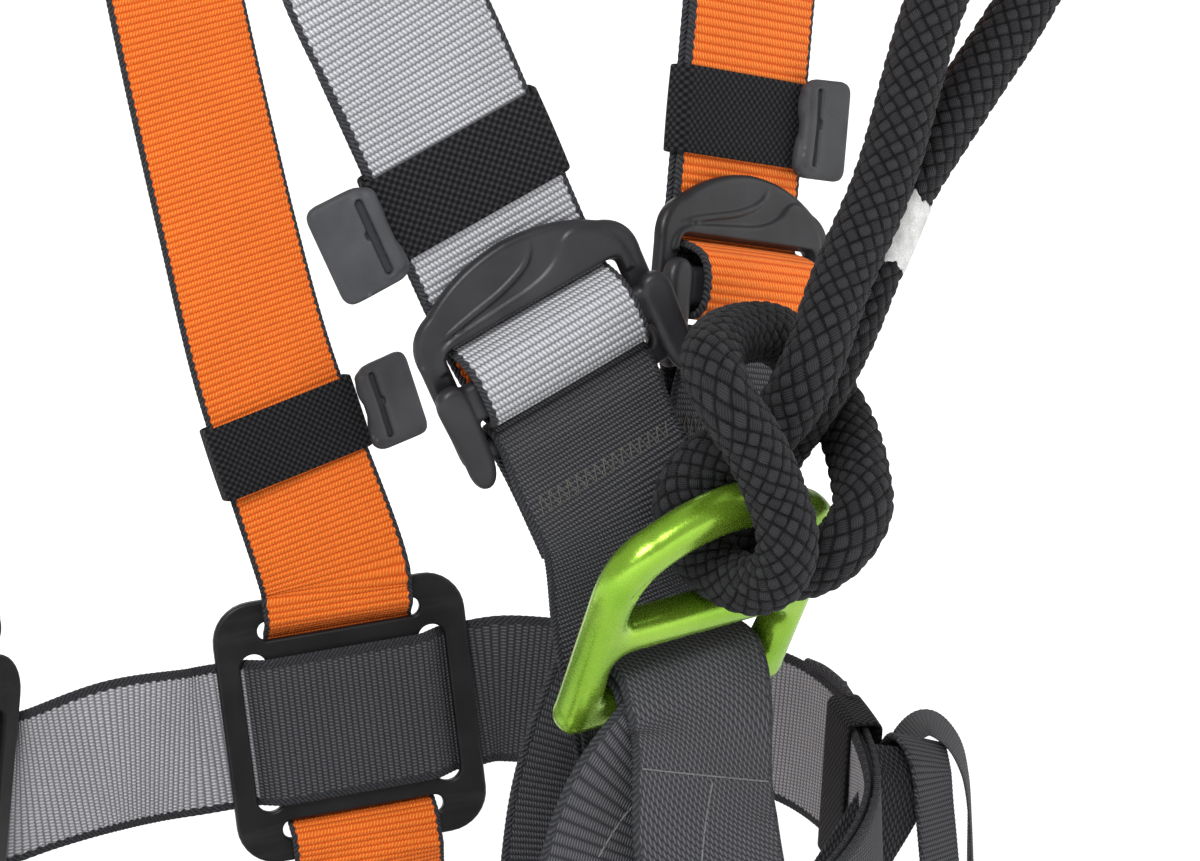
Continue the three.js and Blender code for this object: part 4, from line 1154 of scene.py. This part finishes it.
def dorsal_parts():
    wide, high, corner, thick, gap = (DORSAL[k] for k in ("width", "height", "corner", "thick", "gap"))
    coarse = 0.6
    pad = plate(rounded_rect(wide, high, corner), [], thick, 1.3, -gap - thick / 2)
    pegs = [rod([(x, y, -gap), (x, y, 0), (x, y, gap + thick + 0.3)], DORSAL["peg_radius"]) for x, y in PEGS]
    pad = forged("dorsal_pad", joined(pad, *pegs), coarse, 3)
    add("dorsal_pad_moulded", moved(pad, DORSAL_FRAME), TAB_PLASTIC, "webbing", ["dorsal_pad"])
    middle = gap + thick / 2
    holes = [rounded_rect(6.2, 6.2, 3, x, y) for x, y in PEGS]
    cover = plate(rounded_rect(wide, high, corner), holes, thick, 1.3, middle)
    rim_hole = rounded_rect(wide - 14, high - 14, corner - 7)
    rim = plate(rounded_rect(wide - 8, high - 8, corner - 4), [rim_hole], 1.6, 0.7, gap + thick + 0.2)
    ribs = [rod([(s * 36, -38, gap + thick), (s * 14, -4, gap + thick), (s * 3, 10, gap + thick)], 1.1)
            for s in (-1, 1)]
    lug = rounded_rect(14, 18, 4)
    lugs = []
    for s in (-1, 1):
        points, faces = plate(lug, [], D_RING["lug_wide"], 1.4)
        points = points[:, [2, 1, 0]] + array(s * 17, D_RING["hinge_up"], D_RING["hinge_out"])
        lugs.append((points, faces))
    hinge = (D_RING["hinge_up"], D_RING["hinge_out"])
    bore = rod([(-34, *hinge), (0, *hinge), (34, *hinge)], D_RING["bar"] / 2 + 0.75)
    cover = forged("dorsal_plate", joined(cover, rim, *ribs, *lugs), coarse, 3, [bore])
    add("dorsal_plate_moulded", moved(cover, DORSAL_FRAME), TAB_PLASTIC, "webbing", ["dorsal_plate"])
    half, bar = D_RING["width"] / 2, D_RING["bar"]
    ring = plate(ring_outline(half, -bar / 2), [ring_outline(half - bar, bar / 2)], bar, 3.9, steps=5)
    turn = np.array([[1, 0, 0], [0, -1, 0], [0, 0, -1]])
    ring = (ring[0] @ turn + array(0, *hinge), ring[1])
    mesh = moved(forged("dorsal_ring", ring, coarse, 3), DORSAL_FRAME)
    add("dorsal_ring_forged", mesh, GREY_ALLOY, "dorsal_d_ring", ["dorsal_ring"])


dorsal_parts()


# ---- lanyard ends and whipping ----
def sleeve_mesh():
    radius, length, up, rim = (SLEEVE[k] for k in ("radius", "length", "eye_up", "eye_rim"))
    ridges = lambda s: radius - 1.6 + 1.6 * min(1, s * 9, (1 - s) * 12) - 0.45 * (math.cos(s * TAU * 6) > 0.5)
    body = rod([(0, 0.4, 0), (0, length / 2, 0), (0, length, 0)], ridges, 40, 0.5)
    lug = plate(rounded_rect(2 * rim, up - length + 2 * rim, rim - 0.1, 0, (up + length) / 2), [],
                SLEEVE["eye_thick"], 2.6)
    bore = rod([(0, -3, 0), (0, 6, 0), (0, 15, 0)], 8.2)
    eye = rod([(0, up, -20), (0, up, 0), (0, up, 20)], SLEEVE["eye_hole"])
    return forged("sleeve", joined(body, lug), 0.5, 3, [bore, eye])


def gate_radius(share):
    """The gate's radius: thinner at its ends, with fine grip rings over its middle."""
    grip = (0.2 < share < 0.8) * (math.cos(share * TAU * 14) > 0)
    return 3.8 - 0.5 * (abs(share - 0.5) > 0.44) - 0.25 * grip


def connector_shapes():
    half, high, hinge, nose, bar = (CONNECTOR[k] for k in ("half", "high", "hinge", "nose", "bar"))
    way = [(0, hinge, half), (0, 15, half - 0.5), (0, 4, 12), (0, 0, 0), (0, 4, -12), (0, 15, -half),
           (0, 45, -half - 1), (0, 74, -half - 2), (0, 88, -13), (0, high, 0), (0, 90, 10), (0, 84, half - 1),
           (0, nose, half)]
    body = rod(way, rounded_ends(bar, 0.012), 28, 0.7)
    gate = rod([(0, hinge + 2.6, half), (0, (hinge + nose) / 2, half), (0, nose - 0.6, half)],
               gate_radius, 24, 0.35)
    pins = [rod([(-4.4, y, half), (0, y, half), (4.4, y, half)], rounded_ends(1.3, 0.1), 12, 0.4)
            for y in (hinge + 4.4, nose - 3)]
    return body, joined(gate, *pins)


SLEEVE_MESH = sleeve_mesh()


def lanyard_end(word, base, along):
    at = frame_at(base, along, (0, -1, 0))
    held = at.copy()
    held[:3, 3] = placed(at, (0, SLEEVE["eye_up"], 0))
    body, gate = connector_shapes()
    sleeve = add(f"sleeve_{word}_moulded", moved(SLEEVE_MESH, at), TAB_PLASTIC, "ring_and_lanyard",
                 [f"lanyard_sleeve_{word}"])
    hook = add(f"connector_{word}_forged", new_mesh("connector", placed(held, body[0]), body[1]), GREY_ALLOY,
               "ring_and_lanyard", [f"connector_{word}"])
    add(f"gate_{word}_turned", new_mesh("gate", placed(held, gate[0]), gate[1]), BLACK_STEEL, f"gate_{word}",
        [f"connector_gate_{word}"])
    return [sleeve, hook]


def whipping():
    """White thread wound round the rope's second strand, with uneven edges."""
    rings, sides, half, inside = 60, 72, 9.4, 7.2
    angle = np.arange(sides) / sides * TAU
    ragged = 0.7 * np.sin(3 * angle + 0.6) + 0.45 * np.sin(11 * angle) + 0.3 * np.sin(23 * angle + 1)
    y = np.linspace(-half, half, rings)[:, None] + ragged[None, :] * np.linspace(-1, 1, rings)[:, None] ** 3
    thread = 0.22 * np.abs(np.sin(y * math.pi / 0.85 + angle[None, :] * 0.5))
    outside = inside + 0.65 + thread - 0.5 * np.abs(np.linspace(-1, 1, rings)[:, None]) ** 12
    loop = []
    for radius, height in ((outside, y), (np.full_like(y, inside)[::-1], y[::-1])):
        loop.append(np.stack([radius * np.cos(angle), height, radius * np.sin(angle)], -1))
    points = np.concatenate(loop).transpose(1, 0, 2)
    faces = tube_faces(sides, 2 * rings, True)
    mesh = new_mesh("whipping", placed(MARKER_FRAME, points.reshape(-1, 3)), faces)
    return add("rope_whipping_wound", mesh, WHITE_THREAD, "ring_and_lanyard", ["rope_whipping"])


ENDS = [whipping()]
ENDS += lanyard_end("a", (80.9, -175, 254), (4, 0, 18))
ENDS += lanyard_end("b", (118, -168, 254.4), (4, 0, 18))
ROPE_LINE, ROPE_RUN = rope_line(3)
[tuple(p) for p in ROPE_LINE * MM]


# ---- floor and light ----
def floor():
    low = CAD_BOX[0][2]
    mesh = bpy.data.meshes.new("floor")
    size = 60
    corners = [(-size, -size, low), (size, -size, low), (size, size, low), (-size, size, low)]
    mesh.from_pydata(corners, [], [(0, 1, 2, 3)])
    look, shader = blank("floor")
    preset(shader, Base_Color=(0.93, 0.93, 0.93, 1), Roughness=0.9, Specular_IOR_Level=0.1)
    # The floor glows as painted light: weakly within half a metre of the middle and more strongly further out,
    # so it reads white and lights the harness from below.
    preset(shader, Emission_Color=(1, 1, 1, 1))
    node = new_node(look, "VectorMath")
    node.operation = "LENGTH"
    place = new_node(look, "TexCoord").outputs["Object"]
    link(look, place, node.inputs[0])
    glow = Signal(look, node.outputs["Value"]).step(0.5, 2.2) * 0.75 + 0.1
    link(look, glow.socket, shader.inputs["Emission Strength"])
    mesh.materials.append(look)
    put("floor", mesh)


def area_light(name, place, target, size, power):
    data = bpy.data.lights.new(name, "AREA")
    data.size = size
    data.energy = power
    light = put(name, data)
    light.location = place
    gap = Matrix.Translation(place).translation - Matrix.Translation(target).translation
    light.rotation_euler = gap.to_track_quat("Z", "Y").to_euler()


def lighting():
    scene = bpy.context.scene
    world = bpy.data.worlds.new("studio")
    world.use_nodes = True
    backdrop = world.node_tree.nodes["Background"]
    preset(backdrop, Color=(1, 1, 1, 1), Strength=0.48)
    scene.world = world
    scene.view_settings.view_transform = "Standard"
    area_light("key", (-1.6, -1.5, 1.7), (0, 0, 0.1), 1.0, 54)
    area_light("fill", (1.7, -1.3, 0.9), (0, 0, 0.1), 1.4, 10)
    area_light("back", (0.5, 1.9, 1.5), (0, 0, 0.1), 1.4, 12)


floor()
lighting()
